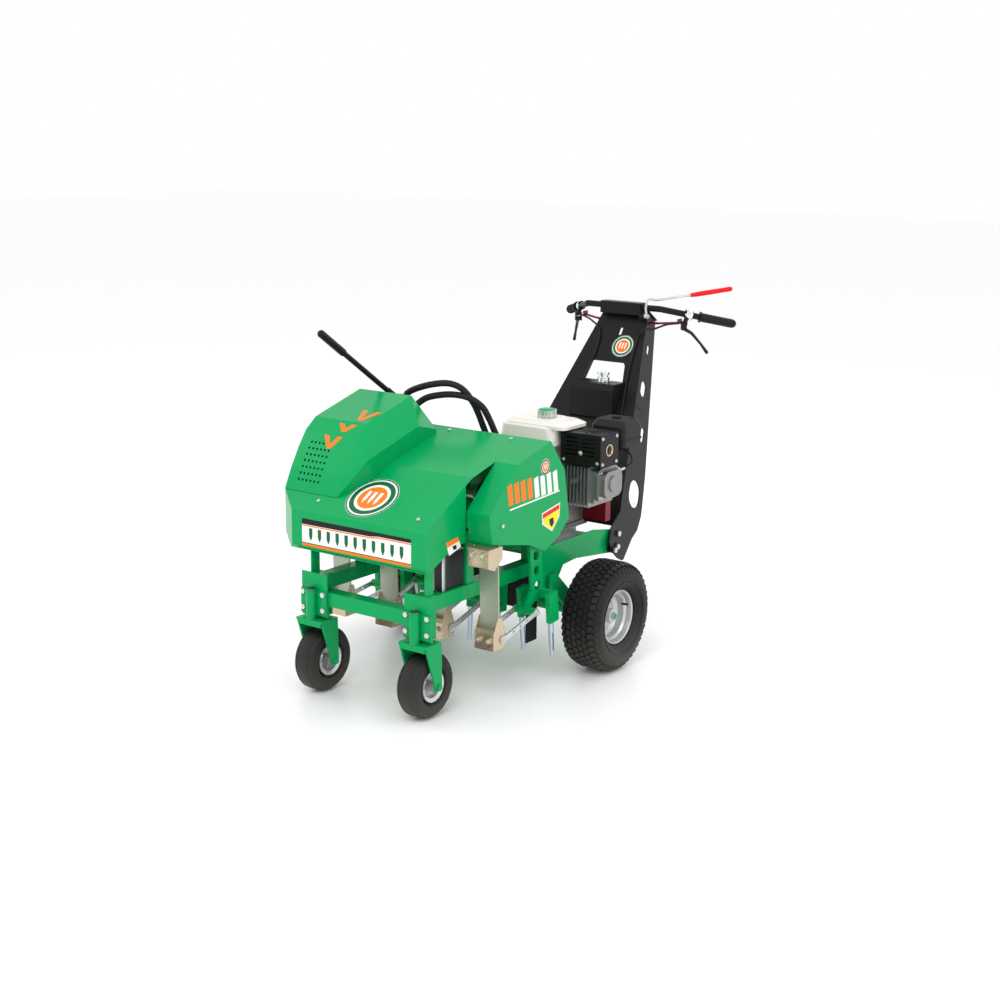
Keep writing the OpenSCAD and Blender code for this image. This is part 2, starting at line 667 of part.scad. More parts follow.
// rocker link: two bars from the arm's boss to the spring strip's lower bracket
module rocker_link(i) {
    b = boss_at(i);
    a = heading(b - strip_pivot);
    color("silver") place() translate([arm_x[i], strip_pivot[0], strip_pivot[1]]) rotate([a, 0, 0]) {
        both_sides() difference() {
            union() {
                box([link_in, 0, -9], [link_out, link_len, 9]);
                for (y = [0, link_len]) {
                    rod_x(link_in, link_out, y, 0, 14);
                    rod_x(link_in, link_out + link_head, y, 0, 9);
                }
            }
            for (y = [0.3, 0.5, 0.7]) rod_x(link_in - 1, link_out + 1, y * link_len, 0, 4.5);
        }
        rod_x(-link_in - 1, link_in + 1, link_len, 0, 6 - run_gap);
    }
}
strip_top = [beam_y0 + 12, beam_z0 - 20];
strip_foot = [strip_pivot[0] - 18, strip_pivot[1] + 22];
module spring_strips() {
    color([0.66, 0.67, 0.59]) place() for (x = arm_x)
        slab(x - strip_half, x + strip_half, [strip_foot, strip_top, strip_top + [strip_t, 0], strip_foot + [strip_t, 0]]);
}
// zinc brackets that clamp each strip to the beam above and carry the link's pin below
module strip_brackets() {
    lower = [[-606, 204], [-606, 262], [-582, 316], [-576.5, 316], [strip_foot[0] - gap, strip_foot[1]],
             [strip_foot[0] - gap, 204]];
    cheek = [[-606, 204], [-606, 262], [-582, 316], [-560, 316], [-536, 252], [-536, 216], [-548, 204]];
    color(zinc_yellow) place() for (x = arm_x) {
        difference() {
            union() {
                both_sides_at(x) slab(strip_half + gap, bracket_half, cheek);
                slab(x - strip_half - gap - 0.1, x + strip_half + gap + 0.1, [[-606, 204], [-606, 262], [-600, 262], [-600, 210], [-548, 210], [-548, 204]]);
                slab(x - strip_half, x + strip_half, [[-606, 204], [-606, 262], [-600, 275], [strip_foot[0] - gap - 2, 275], [strip_foot[0] - gap, strip_foot[1]], [strip_foot[0] - gap, 204]]);
            }
            rod_x(x - 60, x + 60, strip_pivot[0], strip_pivot[1], 6);
        }
        rod_x(x - bracket_half, x + bracket_half, strip_pivot[0], strip_pivot[1], 9);
        for (dx = [-21, 21]) rod_y(x + dx, -614, -604, 238, 10);
        // upper clamp
        box([x - strip_half - 1, beam_y0 - 46, 502], [x + strip_half + 1, beam_y0 - 40, beam_z0 - gap]);
        both_sides_at(x) slab(strip_half + gap, strip_half + 4, [[beam_y0 - 46, 502], [beam_y0 - 46, beam_z0 - gap],
            [beam_y0 + 34, beam_z0 - gap], [beam_y0 + 34, 524], [beam_y0 - 10, 488]]);
        box([x - strip_half - 1, beam_y0 - 46, beam_z0 - 6], [x + strip_half + 1, beam_y0 + 34, beam_z0 - gap]);
        for (dx = [-21, 21]) rod_y(x + dx, beam_y0 - 56, beam_y0 - 44, 545, 11);
    }
}
module both_sides_at(x) {
    translate([x, 0, 0]) both_sides() children();
}
module debris_guard() {
    color(black) place() {
        box([-246, -204, 232], [246, -200, rail_z0 - gap]);
        both_sides() box([248 - 4, -236, 116], [250, -172, 300]);
    }
}

// ---- engine ----
fins = 9;
head_x = case_x1 + 150;
module engine_block() {
    y0 = engine_front;
    color("dimgray") place() {
        difference() {
            box([case_x0, y0, engine_z], [case_x1, y0 + 220, shaft_z + 96]);
            box([case_x0 - 1, y0 - 1, shaft_z + 70], [case_x0 + 60, y0 + 221, shaft_z + 100]);
        }
        both_feet() box([-24, y0 + 6, engine_z], [24, y0 + 214, engine_z + 12]);
        rod_y(shaft_x, y0 - 12, y0 + 1, shaft_z, 62);
        rod_y(shaft_x, y0 - 46, y0, shaft_z, engine_shaft_d / 2);
        // cylinder with cooling fins, leaning up towards the machine's left
        box([case_x1 - 1, y0 + 58, shaft_z - 12], [head_x, y0 + 196, shaft_z + 108]);
        for (k = [0 : fins - 1])
            box([case_x1 + 8 + k * 15, y0 + 44, shaft_z - 28], [case_x1 + 13 + k * 15, y0 + 212, shaft_z + 122]);
        rod_y(case_x1 + 84, y0 + 14, y0 + 60, shaft_z + 70, 9);
        // carburettor and its elbow to the air cleaner
        box([case_x1 + 40, y0 + 173, shaft_z + 76], [case_x1 + 96, y0 + 236, shaft_z + 150]);
        box([case_x1 + 40, y0 + 190, shaft_z + 149], [case_x1 + 110, y0 + 250, cleaner_z0 - gap]);
    }
}
module both_feet() {
    for (x = mount_x) translate([x, 0, 0]) children();
}
mount_x = [case_x0 + 26, case_x1 - 14];
module valve_cover() {
    yc = engine_front + 128;
    zc = shaft_z + 56;
    color("silver") place() translate([head_x + gap, yc, zc]) rotate([0, 90, 0]) difference() {
        union() {
            linear_extrude(16) rounded(122, 146, 30);
            translate([0, 0, 16]) linear_extrude(22) rounded(98, 120, 30);
            translate([0, 0, 38]) cylinder(h = 6, d = 60);
        }
        for (s = [-1, 1], u = [-1, 1]) translate([s * 46, u * 58, 8]) cylinder(h = 12, d = 8);
    }
}
module rounded(w, l, r) {
    square([w - 2 * r, l], center = true);
    square([w, l - 2 * r], center = true);
    for (s = [-1, 1], u = [-1, 1]) translate([s * (w / 2 - r), u * (l / 2 - r)]) circle(r = r);
}
tank_z0 = shaft_z + 190;
tank_z1 = tank_z0 + 88;
tank_w = 240;
tank_mid = [shaft_x + 26, engine_front + 88];
cap_at = [shaft_x + 52, engine_front + 96];
module fuel_tank() {
    color("ivory") place() difference() {
        union() {
            translate([tank_mid[0], tank_mid[1], 0]) hull() {
                translate([0, 0, tank_z0]) linear_extrude(20) rounded(tank_w, 196, 26, $fn = 32);
                translate([0, 0, tank_z0 + 58]) linear_extrude(6) rounded(tank_w - 4, 192, 36, $fn = 32);
                translate([0, 0, tank_z1 - 8]) linear_extrude(8) rounded(tank_w - 56, 140, 40, $fn = 32);
            }
            // shoulder that reaches over the silencer's guard
            translate([tank_mid[0] + 30, tank_mid[1], tank_z0 + 62]) hull() {
                linear_extrude(12) rounded(tank_w + 28, 176, 36, $fn = 32);
                translate([0, 0, 12]) linear_extrude(12) rounded(tank_w - 20, 140, 36, $fn = 32);
            }
            rod_z(cap_at[0], cap_at[1], tank_z1 - 2, tank_z1 + 14, 26);
            for (dx = [-100, 74]) box([tank_mid[0] + dx - 14, tank_mid[1] - 80, shaft_z + 96 + gap],
                                      [tank_mid[0] + dx + 14, tank_mid[1] + 80, tank_z0 + 1]);
        }
        rod_z(cap_at[0], cap_at[1], tank_z0 + 12, tank_z1 + 15, 20);
    }
}
module fuel_cap() {
    color("white") place() difference() {
        rod_z(cap_at[0], cap_at[1], tank_z1 + 2, tank_z1 + 28, 36);
        rod_z(cap_at[0], cap_at[1], tank_z1, tank_z1 + 14 + gap, 26 + gap);
        for (k = [0 : 15]) rotate_about(cap_at, k * 22.5) translate([37, 0, tank_z1]) cylinder(h = 30, d = 6, $fn = 16);
    }
}
module rotate_about(c, a) {
    translate([c[0], c[1], 0]) rotate([0, 0, a]) children();
}
guard_lo = [222, engine_front + 25, shaft_z + 132];
guard_hi = [394, engine_front + 146, shaft_z + 248];
module muffler_guard() {
    w = 2.5;
    color(black) place() {
        difference() {
            box(guard_lo, guard_hi);
            box(guard_lo + [w, w, -1], guard_hi - [w, w, w]);
            // louvre slots in the front
            for (row = [0 : 4], x = [guard_lo[0] + 22, guard_lo[0] + 94])
                box([x, guard_lo[1] - 1, guard_lo[2] + 34 + row * 15], [x + 52, guard_lo[1] + 5, guard_lo[2] + 40 + row * 15]);
            for (k = [0 : 5])
                box([guard_lo[0] + 22 + k * 20, guard_lo[1] + 30, guard_hi[2] - 5], [guard_lo[0] + 30 + k * 20, guard_hi[1] - 30, guard_hi[2] + 1]);
            rod_x(guard_hi[0] - 5, guard_hi[0] + 1, (guard_lo[1] + guard_hi[1]) / 2, guard_hi[2] - 60, 20);
        }
        // silencer canister inside, on a flange at the cylinder
        rod_x(guard_lo[0] + 14, guard_hi[0] - 16, (guard_lo[1] + guard_hi[1]) / 2, guard_hi[2] - 62, 46);
        rod_z(case_x1 + 90, guard_lo[1] + 60, shaft_z + 122 + gap, guard_hi[2] - 80, 17);
        box([guard_lo[0] + 1, guard_lo[1] + 60, guard_hi[2] - 70], [guard_lo[0] + 30, guard_lo[1] + 80, guard_hi[2] - 60]);
    }
}
cleaner_z0 = shaft_z + 176;
cleaner_mid = [314, engine_front + 260];
module air_cleaner() {
    color(rubber) place() {
        hull() {
            translate([cleaner_mid[0], cleaner_mid[1], cleaner_z0]) linear_extrude(76) rounded(146, 138, 20, $fn = 32);
            translate([cleaner_mid[0], cleaner_mid[1], cleaner_z0]) linear_extrude(98) rounded(118, 110, 20, $fn = 32);
        }
        rod_z(cleaner_mid[0], cleaner_mid[1], cleaner_z0 + 97, cleaner_z0 + 106, 17);
        translate([cleaner_mid[0], cleaner_mid[1], cleaner_z0 + 22]) linear_extrude(6) rounded(152, 144, 22);
    }
}
module recoil_starter() {
    y1 = engine_front + 220 + gap;
    color([0.5, 0.02, 0.08]) place() difference() {
        union() {
            box([case_x0 - 10, y1, engine_z + 14], [case_x1 + 36, y1 + 34, shaft_z + 116]);
            box([case_x1 + 30, y1, engine_z + 14], [case_x1 + 100, y1 + 34, shaft_z + 70]);
            rod_y(shaft_x, y1 + 30, y1 + 62, shaft_z, 96);
        }
        for (k = [0 : 11]) translate([shaft_x, y1 + 50, shaft_z]) rotate([0, k * 30, 0])
            translate([62, 0, 0]) rotate([-90, 0, 0]) linear_extrude(20) square([34, 8], center = true);
    }
}
module engine_mounts() {
    color(zinc) place() {
        for (x = mount_x) difference() {
            box([x - 27, engine_front - 4, deck_top], [x + 27, engine_front + 232, engine_z]);
            box([x - 22, engine_front - 5, deck_top + 5], [x + 28, engine_front + 233, engine_z - 5]);
        }
    }
}
pump_y1 = engine_front - 14;
module hydraulic_pump() {
    color("dimgray") place() difference() {
        union() {
            box([shaft_x - 46, pump_y1 - 88, shaft_z - 46], [shaft_x + 46, pump_y1 - 10, shaft_z + 46]);
            rod_y(shaft_x, pump_y1 - 12, pump_y1 + 2 - gap, shaft_z, 62);
            for (h = pump_ports) rod_z(h[0], h[1], shaft_z + 45, port_z, 15);
        }
        rod_y(shaft_x, pump_y1 - 40, pump_y1 + 3, shaft_z, engine_shaft_d / 2 + run_gap);
    }
}
pump_ports = [[shaft_x - 22, pump_y1 - 46], [shaft_x + 24, pump_y1 - 46]];
port_z = shaft_z + 66;
port_y = motor_y + 84;
hose_d = 24;
// both hoses run from the motor under the drive cover, over the hood's rear edge, to the pump
motor_port_x = [motor_x1 - 62, motor_x1 - 28];
hose_ways = [
    [[motor_port_x[0], port_y + gap, motor_z + 22], [motor_port_x[0], port_y + 6, motor_z + 22],
     [motor_port_x[0], port_y + 18, motor_z + 22], [motor_port_x[0], port_y + 34, motor_z + 28],
     [motor_port_x[0], -330, 944], [-250, -302, 985],
     [-180, -290, 1018], [-99, -265, 1034], [-50, -240, 1018], [-22, -215, 975], [-8, -195, 930],
     [6, -176, 870], [24, -152, 800], [pump_ports[0][0], pump_ports[0][1], port_z + 40],
     [pump_ports[0][0], pump_ports[0][1], port_z + 12],
     [pump_ports[0][0], pump_ports[0][1], port_z + gap]],
    [[motor_port_x[1], port_y + gap, motor_z + 22], [motor_port_x[1], port_y + 6, motor_z + 22],
     [motor_port_x[1], port_y + 18, motor_z + 22], [motor_port_x[1], port_y + 34, motor_z + 28],
     [motor_port_x[1] + 4, -332, 932], [-196, -296, 958],
     [-160, -280, 980], [-88, -255, 993], [-26, -230, 985], [18, -207, 955], [38, -190, 912],
     [52, -174, 865], [70, -150, 800], [pump_ports[1][0], pump_ports[1][1], port_z + 40],
     [pump_ports[1][0], pump_ports[1][1], port_z + 12],
     [pump_ports[1][0], pump_ports[1][1], port_z + gap]]];
module hydraulic_hoses() {
    color(rubber) place() for (way = hose_ways) swept_tube(spline(way, 4), hose_d / 2, 12);
}

// ---- handle tower, in its own frame: depth rearwards along Y, length along Z ----
module on_tower() {
    translate([0, tower_y, tower_z]) rotate([-tower_lean, 0, 0]) children();
}
stretch = 1 / cos(tower_slant);
flange_line = [[0, 60], [-26, 20], [-55, -27], [-50, -84], [-16, -107], [30, -114], [66, -110], [80, -103],
               [126, 0], [161, 48], [176, 110], [176, 145], [166, 276], [130, 516], [74, tower_len],
               [64, tower_len + 16], [0, tower_len + 16]];
flange_slots = [[44, 764, 20, 40], [48, 595, 40, 64], [93, 418, 26, 60], [95, 171, 87, 110]];
function tower_half(s) = tower_foot_w / 2 - s * tower_taper;
// how far out the flange's outer face is at a point of its side, with its raised boss
function foot_x(p) = tower_half((p[0] - tower_y) * sin(tower_lean) + (p[1] - tower_z) * cos(tower_lean)) + 3;
module flange() {
    translate([tower_half(0), 0, 0]) rotate([0, -tower_slant, 0]) difference() {
        translate([-tower_t, 0, 0]) rotate([90, 0, 90]) linear_extrude(tower_t)
            polygon([for (p = flange_line) [p[0], p[1] * stretch]]);
        for (h = flange_slots) translate([-tower_t - 1, h[0], h[1] * stretch]) rotate([90, 0, 90])
            linear_extrude(tower_t + 2) slot2d(h[2], h[3]);
    }
}
module handle_tower() {
    color(black) place() difference() {
        union() {
            on_tower() both_sides() flange();
            both_sides() for (p = tower_bolts) rod_x(plate_half_w, foot_x(p), p[0], p[1], 13);
        }
        for (p = tower_bolts) rod_x(-340, 340, p[0], p[1], 5.25);
        rod_x(-160, 160, bail_y, bail_z, bail_r + run_gap);
    }
    color(black) place() on_tower() {
        translate([0, tower_t, 0]) rotate([90, 0, 0]) linear_extrude(tower_t) difference() {
            polygon([[-tower_half(0), 0], [tower_half(0), 0], [tower_half(tower_len + 16), tower_len + 16],
                     [-tower_half(tower_len + 16), tower_len + 16]]);
            polygon([[-100, 570], [100, 570], [80, 665], [70, 678], [-70, 678], [-80, 665]]);
            translate([8, 815]) slot2d(12, 34);
        }
        // head plate that carries the handlebar
        box([-tower_half(tower_len) - 3, 0, tower_len + 10], [tower_half(tower_len) + 3, 74, tower_len + 16]);
        box([-tower_half(500), 0, 505], [tower_half(500), 60, 509]);
    }
    pivot = lever_pts[0];
    color(black) place() {
        // folded head around the handlebar, and the engage lever's bracket and pin
        difference() {
            box([-98, bar_y - 19, bar_z - 30], [90, bar_y + 26, bar_z + 18]);
            rod_x(-99, 91, bar_y, bar_z, bar_d / 2 + 0.1);
        }
        box([96, pivot[1] - 12, pivot[2] - 12], [106, bar_y + 14, pivot[2] + 12]);
        rod_x(105, 116, pivot[1], pivot[2], 12);
        rod_x(115, 131, pivot[1], pivot[2], lever_pin_r);
    }
}
lever_pin_r = 4;
bail_at = [34, 880];
bail_r = 5;
module grips() {
    both_sides() {
        e = bar_end;
        rod_between(e - bar_u * grip_len, e - bar_u * grip_d / 2, grip_d / 2);
        translate(e - bar_u * grip_d / 2) sphere(r = grip_d / 2 + 0.2);
        rod_between(e - bar_u * (grip_len + 4), e - bar_u * (grip_len - 1), grip_d / 2 + 5);
    }
}
clamp_at = [bar_mid, bar_y, bar_z] + bar_u * 120;
bar_heading = atan2(bar_dir[1], bar_dir[0]);
hand_pivot = clamp_at + [-6, -26, -50];
hand_pin_r = 3;
// children in a frame at a hand lever's pivot, X outwards along the bar
module at_hand_pivot() {
    translate(hand_pivot) rotate([0, 0, bar_heading]) children();
}
module handlebar() {
    color(black) place() {
        rod_x(-bar_mid, bar_mid, bar_y, bar_z, bar_d / 2);
        both_sides() {
            translate([bar_mid, bar_y, bar_z]) sphere(r = bar_d / 2 + 0.2);
            rod_between([bar_mid, bar_y, bar_z], bar_end - bar_u * 60, bar_d / 2);
            rod_between(clamp_at - bar_u * 15, clamp_at + bar_u * 15, bar_d / 2 + 6);
            rod_between(clamp_at + [0, -4, -6], hand_pivot + [0, 0, 18], 9);
            at_hand_pivot() {
                box([-10, -13, 12], [12, 13, 26]);
                for (y = [-13, 8.5]) box([-10, y, -9], [10, y + 4.5, 13]);
                rod_y(0, -14, 14, 0, hand_pin_r);
            }
        }
        grips();
    }
}
// a hand lever under each grip, sprung open
hand_reach = [[6, 0, -6], [34, 4, -22], [74, 8, -66], [100, 10, -100]];
module hand_lever(left) {
    color(black) place() on_side(left) at_hand_pivot() difference() {
        union() {
            rod_y(0, -8.2, 8.2, 0, 9);
            for (k = [0 : 2]) hull() {
                translate(hand_reach[k]) sphere(r = 7.5 - k * 1.2, $fn = 20);
                translate(hand_reach[k + 1]) sphere(r = k == 2 ? 7 : 6.3 - k * 1.2, $fn = 20);
            }
        }
        rod_y(0, -20, 20, 0, hand_pin_r + run_gap);
    }
}
// bail on a cross rod through the tower's flanges
bail_y = tower_y + bail_at[1] * sin(tower_lean) + bail_at[0] * cos(tower_lean);
bail_z = tower_z + bail_at[1] * cos(tower_lean) - bail_at[0] * sin(tower_lean);
module presence_bail() {
    color([0.5, 0.02, 0.08]) place() {
        rod_x(-142, 142, bail_y, bail_z, bail_r);
        both_sides() {
            bent_rod([[142, bail_y, bail_z], [226, bail_y + 34, bail_z + 6]], bail_r - 0.5);
            box([222, bail_y + 14, bail_z + 2], [226, bail_y + 46, bail_z + 22]);
        }
    }
}
module engage_lever() {
    n = len(lever_pts) - 1;
    p = lever_pts[0];
    mid = lever_pts[3];
    wire = concat([p + [0, 0, 6]], spline([for (i = [1 : n]) lever_pts[i]], 6));
    color(zinc) place() difference() {
        union() {
            swept_tube(wire, 5, 12);
            rod_x(116 + gap, 129, p[1], p[2], 10);
        }
        rod_x(110, 140, p[1], p[2], lever_pin_r + run_gap);
    }
    color("red") place() hull() {
        translate(lever_pts[n]) sphere(r = lever_grip_r, $fn = 28);
        translate(mid) sphere(r = lever_grip_r, $fn = 28);
    }
}
function cable_point(x, drop) = [x, tower_face(bar_z - drop) - cable_off, bar_z - drop];
cable_off = 6.4;
cable_ways = [
    [hand_pivot + [-14, -14, 18], [200, bar_y + 4, bar_z - 60], [150, bar_y - 10, bar_z - 80],
     [118, bar_y - 40, bar_z - 84], cable_point(98, 118), cable_point(112, 260), cable_point(152, 430)],
    [[-hand_pivot[0] + 14, hand_pivot[1] - 14, hand_pivot[2] + 18], [-196, bar_y + 2, bar_z - 52],
     [-140, bar_y - 18, bar_z - 66], cable_point(-86, 104), cable_point(-74, 190), cable_point(-96, 300)]];
module control_cables() {
    color(rubber) place() for (way = cable_ways) swept_tube(spline(way, 5), 4, 8);
}

// ---- hydraulic oil tank on the tower ----
oil_x = [-88, 110];
oil_top = 949;
oil_front = 531;
oil_cap_at = [33, 592];
oil_neck_r = 16;
function tower_face(z) = tower_y + (z - tower_z) * tan(tower_lean);
module oil_tank() {
    color(black) place() difference() {
        union() {
            slab(oil_x[0], oil_x[1], [[oil_front, oil_top - 24], [oil_front + 16, oil_top],
                 [tower_face(oil_top) - gap, oil_top], [tower_face(808) - gap, 808], [oil_front, 816]]);
            rod_z(oil_cap_at[0], oil_cap_at[1], oil_top - 1, oil_top + 14, oil_neck_r);
        }
        rod_z(oil_cap_at[0], oil_cap_at[1], oil_top - 30, oil_top + 15, oil_neck_r - 5);
    }
}
module oil_cap() {
    c = [oil_cap_at[0], oil_cap_at[1]];
    color("silver") place() {
        difference() {
            union() {
                rod_z(c[0], c[1], oil_top + gap, oil_top + 20, 26);
                rod_z(c[0], c[1], oil_top + 19, oil_top + 30, 20);
                rod_z(c[0], c[1], oil_top + 29, oil_top + 40, 25);
            }
            rod_z(c[0], c[1], oil_top, oil_top + 14 + gap, oil_neck_r + gap);
        }
    }
}

// ---- tine density lever on the hood ----
density_pivot = [-345, -250, 950];
density_grip = [-350, -660, 1235];
module density_lever() {
    far = density_grip;
    near = [-345, -262, 962];
    u = unit(far - near);
    color(black) place() {
        difference() {
            union() {
                rod_between(near, far - u * 30, 10);
                rod_between(far - u * 150, far - u * 14, 14);
                translate(far - u * 14) sphere(r = 14.2);
                rod_between(near - u * 16, near + u * 40, 13);
                rod_x(density_pivot[0] - 12, density_pivot[0] + 12, density_pivot[1], density_pivot[2], 19);
            }
            rod_x(density_pivot[0] - 20, density_pivot[0] + 20, density_pivot[1], density_pivot[2], 8 + run_gap);
        }
    }
}

// ---- loose screws and bolts ----
module roof_screw(x, y) {
    translate([x, y, fold_z + roof_slope * (y - fold_y)]) rotate([atan(roof_slope), 0, 0]) children();
}
module fasteners() {
    slope = atan2(fold_z - 645, fold_y - front_y);
    color("silver") place() {
        both_sides() caster_bolt_places() translate([0, 0, bracket_t]) hex_bolt(17, 7, 5, bracket_t + 12);
        both_sides() for (p = tower_bolts) translate([foot_x(p), p[0], p[1]]) rotate([0, 90, 0])
            hex_bolt(19, 8, 5, foot_x(p) - plate_half_w + plate_t + 4);
        for (x = [-240, 198]) translate([x, -795, 645 + 50 * tan(slope)]) rotate([slope, 0, 0])
            hex_bolt(13, 5, 3, 0);
        for (x = [210, -60]) roof_screw(x, -292) hex_bolt(13, 5, 3, 0);
        translate([cover_left, -551, 631]) rotate([0, 90, 0]) hex_bolt(13, 6, 3, 0);
    }
}

frame_rails();
front_frame();
spring_beam();
rear_frame();
front_hood();
side_cover();
drive_cover();
fasteners();
caster_brackets();
caster_fork(true);  // caster_fork_left
caster_fork(false);  // caster_fork_right
caster_rim(true);  // caster_rim_left
caster_rim(false);  // caster_rim_right
caster_tyre(true);  // caster_tyre_left
caster_tyre(false);  // caster_tyre_right
rear_rim(true);  // rear_rim_left
rear_rim(false);  // rear_rim_right
rear_tyre(true);  // rear_tyre_left
rear_tyre(false);  // rear_tyre_right
wheel_carrier();
crankshaft();
crank_bearings();
motor_sprocket();
drive_chain();
hydraulic_motor();
tine_arm(0);  // tine_arm_1
tine_arm(1);  // tine_arm_2
tine_arm(2);  // tine_arm_3
tine_arm(3);  // tine_arm_4
tine_pair(0);  // tines_1
tine_pair(1);  // tines_2
tine_pair(2);  // tines_3
tine_pair(3);  // tines_4
rocker_link(0);  // rocker_link_1
rocker_link(1);  // rocker_link_2
rocker_link(2);  // rocker_link_3
rocker_link(3);  // rocker_link_4
spring_strips();
strip_brackets();
debris_guard();
engine_block();
valve_cover();
fuel_tank();
fuel_cap();
muffler_guard();
air_cleaner();
recoil_starter();
engine_mounts();
hydraulic_pump();
hydraulic_hoses();
handle_tower();
handlebar();
oil_tank();
oil_cap();
density_lever();
engage_lever();
hand_lever(true);  // brake_lever_left
hand_lever(false);  // brake_lever_right
presence_bail();
control_cables();
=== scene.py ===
# Core aerator: finishes, tyres, trim and stage around the machine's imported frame.
import json
import math

import bpy
from mathutils import Matrix, Vector


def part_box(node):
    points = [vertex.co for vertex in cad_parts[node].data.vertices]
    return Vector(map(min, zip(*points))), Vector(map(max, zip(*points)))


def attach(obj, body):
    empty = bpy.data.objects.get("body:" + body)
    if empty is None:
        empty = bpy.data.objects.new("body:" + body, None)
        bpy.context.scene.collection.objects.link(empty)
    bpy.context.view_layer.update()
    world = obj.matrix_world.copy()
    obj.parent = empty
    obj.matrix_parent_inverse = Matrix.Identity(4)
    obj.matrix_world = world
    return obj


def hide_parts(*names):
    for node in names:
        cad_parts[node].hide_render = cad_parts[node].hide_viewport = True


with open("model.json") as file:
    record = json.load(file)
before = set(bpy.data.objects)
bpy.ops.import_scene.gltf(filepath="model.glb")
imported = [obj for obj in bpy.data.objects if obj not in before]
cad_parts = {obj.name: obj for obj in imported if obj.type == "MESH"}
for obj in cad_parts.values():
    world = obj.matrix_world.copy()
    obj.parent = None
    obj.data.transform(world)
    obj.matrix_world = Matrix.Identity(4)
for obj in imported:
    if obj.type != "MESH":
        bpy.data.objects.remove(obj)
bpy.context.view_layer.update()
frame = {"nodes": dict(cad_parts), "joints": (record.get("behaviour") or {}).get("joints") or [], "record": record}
nodes = frame["nodes"]
print("frame loaded:", len(nodes), "nodes")

mm = 0.001
joints = {j["name"]: j for j in frame["joints"]}
axleY = joints["rear_left_spin"]["pos_m"][1]


def at(x, y, z):
    # millimetres from the middle of the rear axle's ground line, to the frame
    return Vector((x * mm, y * mm + axleY, z * mm))


# camera, light and floor
camera = {"azimuth": 35.611, "elevation": 13.072, "roll": 0.654, "distance": 6483.6,
          "lens": 58.5, "target": (-245.3, 281.1, 482.0)}


def addCamera(spec):
    az = math.radians(spec["azimuth"])
    el = math.radians(spec["elevation"])
    roll = math.radians(spec["roll"])
    back = Vector((math.sin(az) * math.cos(el), -math.cos(az) * math.cos(el), math.sin(el)))
    right = Vector((math.cos(az), math.sin(az), 0))
    up = back.cross(right)
    turned = [right * math.cos(roll) + up * math.sin(roll),
              up * math.cos(roll) - right * math.sin(roll), back]
    bpy.ops.object.camera_add(location=at(*spec["target"]) + back * spec["distance"] * mm)
    cam = bpy.context.object
    cam.rotation_euler = Matrix(turned).transposed().to_euler()
    cam.data.lens = spec["lens"]
    cam.data.sensor_width = 36
    cam.data.clip_end = 100
    bpy.context.scene.camera = cam


lamps = [
    {"name": "keyLight", "at": (1.6, -4.2, 4.6), "aim": (0, -0.1, 0.5), "size": 2.6, "power": 95},
    {"name": "leftLight", "at": (-4.6, -2.4, 3.0), "aim": (0, -0.2, 0.5), "size": 2.4, "power": 40},
    {"name": "backLight", "at": (0.5, 4.5, 4.2), "aim": (0, 0.2, 0.6), "size": 3.0, "power": 50},
    {"name": "rightLight", "at": (5.0, 0.6, 2.2), "aim": (0, 0.1, 0.5), "size": 2.0, "power": 35},
]


def addLamps():
    for lamp in lamps:
        spot = Vector(lamp["at"])
        bpy.ops.object.light_add(type="AREA", location=spot)
        light = bpy.context.object
        light.name = lamp["name"]
        light.data.shape = "SQUARE"
        light.data.size = lamp["size"]
        light.data.energy = lamp["power"]
        light.rotation_euler = (spot - Vector(lamp["aim"])).to_track_quat("Z", "Y").to_euler()


def addSky():
    world = bpy.data.worlds.new("studioSky")
    world.use_nodes = True
    world.node_tree.nodes["Background"].inputs["Color"].default_value = (1, 1, 1, 1)
    world.node_tree.nodes["Background"].inputs["Strength"].default_value = 1.0
    bpy.context.scene.world = world


def addFloor():
    bpy.ops.mesh.primitive_plane_add(size=60)
    floor = bpy.context.object
    floor.name = "studioFloor"
    material = bpy.data.materials.new("paleFloor")
    material.use_nodes = True
    shader = material.node_tree.nodes["Principled BSDF"]
    shader.inputs["Base Color"].default_value = (0.98, 0.98, 0.98, 1)
    shader.inputs["Roughness"].default_value = 0.35
    floor.data.materials.append(material)


addCamera(camera)
addLamps()
addSky()
addFloor()
bpy.context.scene.view_settings.view_transform = "Standard"
print("stage set")


# shader groups
def newGroup(name, inputs, outputs):
    group = bpy.data.node_groups.new(name, "ShaderNodeTree")
    for label, kind, value in inputs:
        socket = group.interface.new_socket(label, in_out="INPUT", socket_type=kind)
        if value is not None:
            socket.default_value = value
    for label, kind in outputs:
        group.interface.new_socket(label, in_out="OUTPUT", socket_type=kind)
    return group, group.nodes.new("NodeGroupInput"), group.nodes.new("NodeGroupOutput")


number = "NodeSocketFloat"
colour = "NodeSocketColor"
vector = "NodeSocketVector"


def buildRelief():
    # fine grain over softened edges
    group, given, out = newGroup("surfaceRelief",
                                 [("Scale", number, 400.0), ("Depth", number, 0.1),
                                  ("Edge", number, 0.0015)],
                                 [("Normal", vector), ("Grain", number)])
    link = group.links.new
    coords = group.nodes.new("ShaderNodeTexCoord")
    noise = group.nodes.new("ShaderNodeTexNoise")
    noise.inputs["Detail"].default_value = 4
    bevel = group.nodes.new("ShaderNodeBevel")
    bevel.samples = 4
    bump = group.nodes.new("ShaderNodeBump")
    bump.inputs["Distance"].default_value = 0.001
    link(coords.outputs["Object"], noise.inputs["Vector"])
    link(given.outputs["Scale"], noise.inputs["Scale"])
    link(given.outputs["Edge"], bevel.inputs["Radius"])
    link(noise.outputs["Fac"], bump.inputs["Height"])
    link(given.outputs["Depth"], bump.inputs["Strength"])
    link(bevel.outputs["Normal"], bump.inputs["Normal"])
    link(bump.outputs["Normal"], out.inputs["Normal"])
    link(noise.outputs["Fac"], out.inputs["Grain"])
    return group


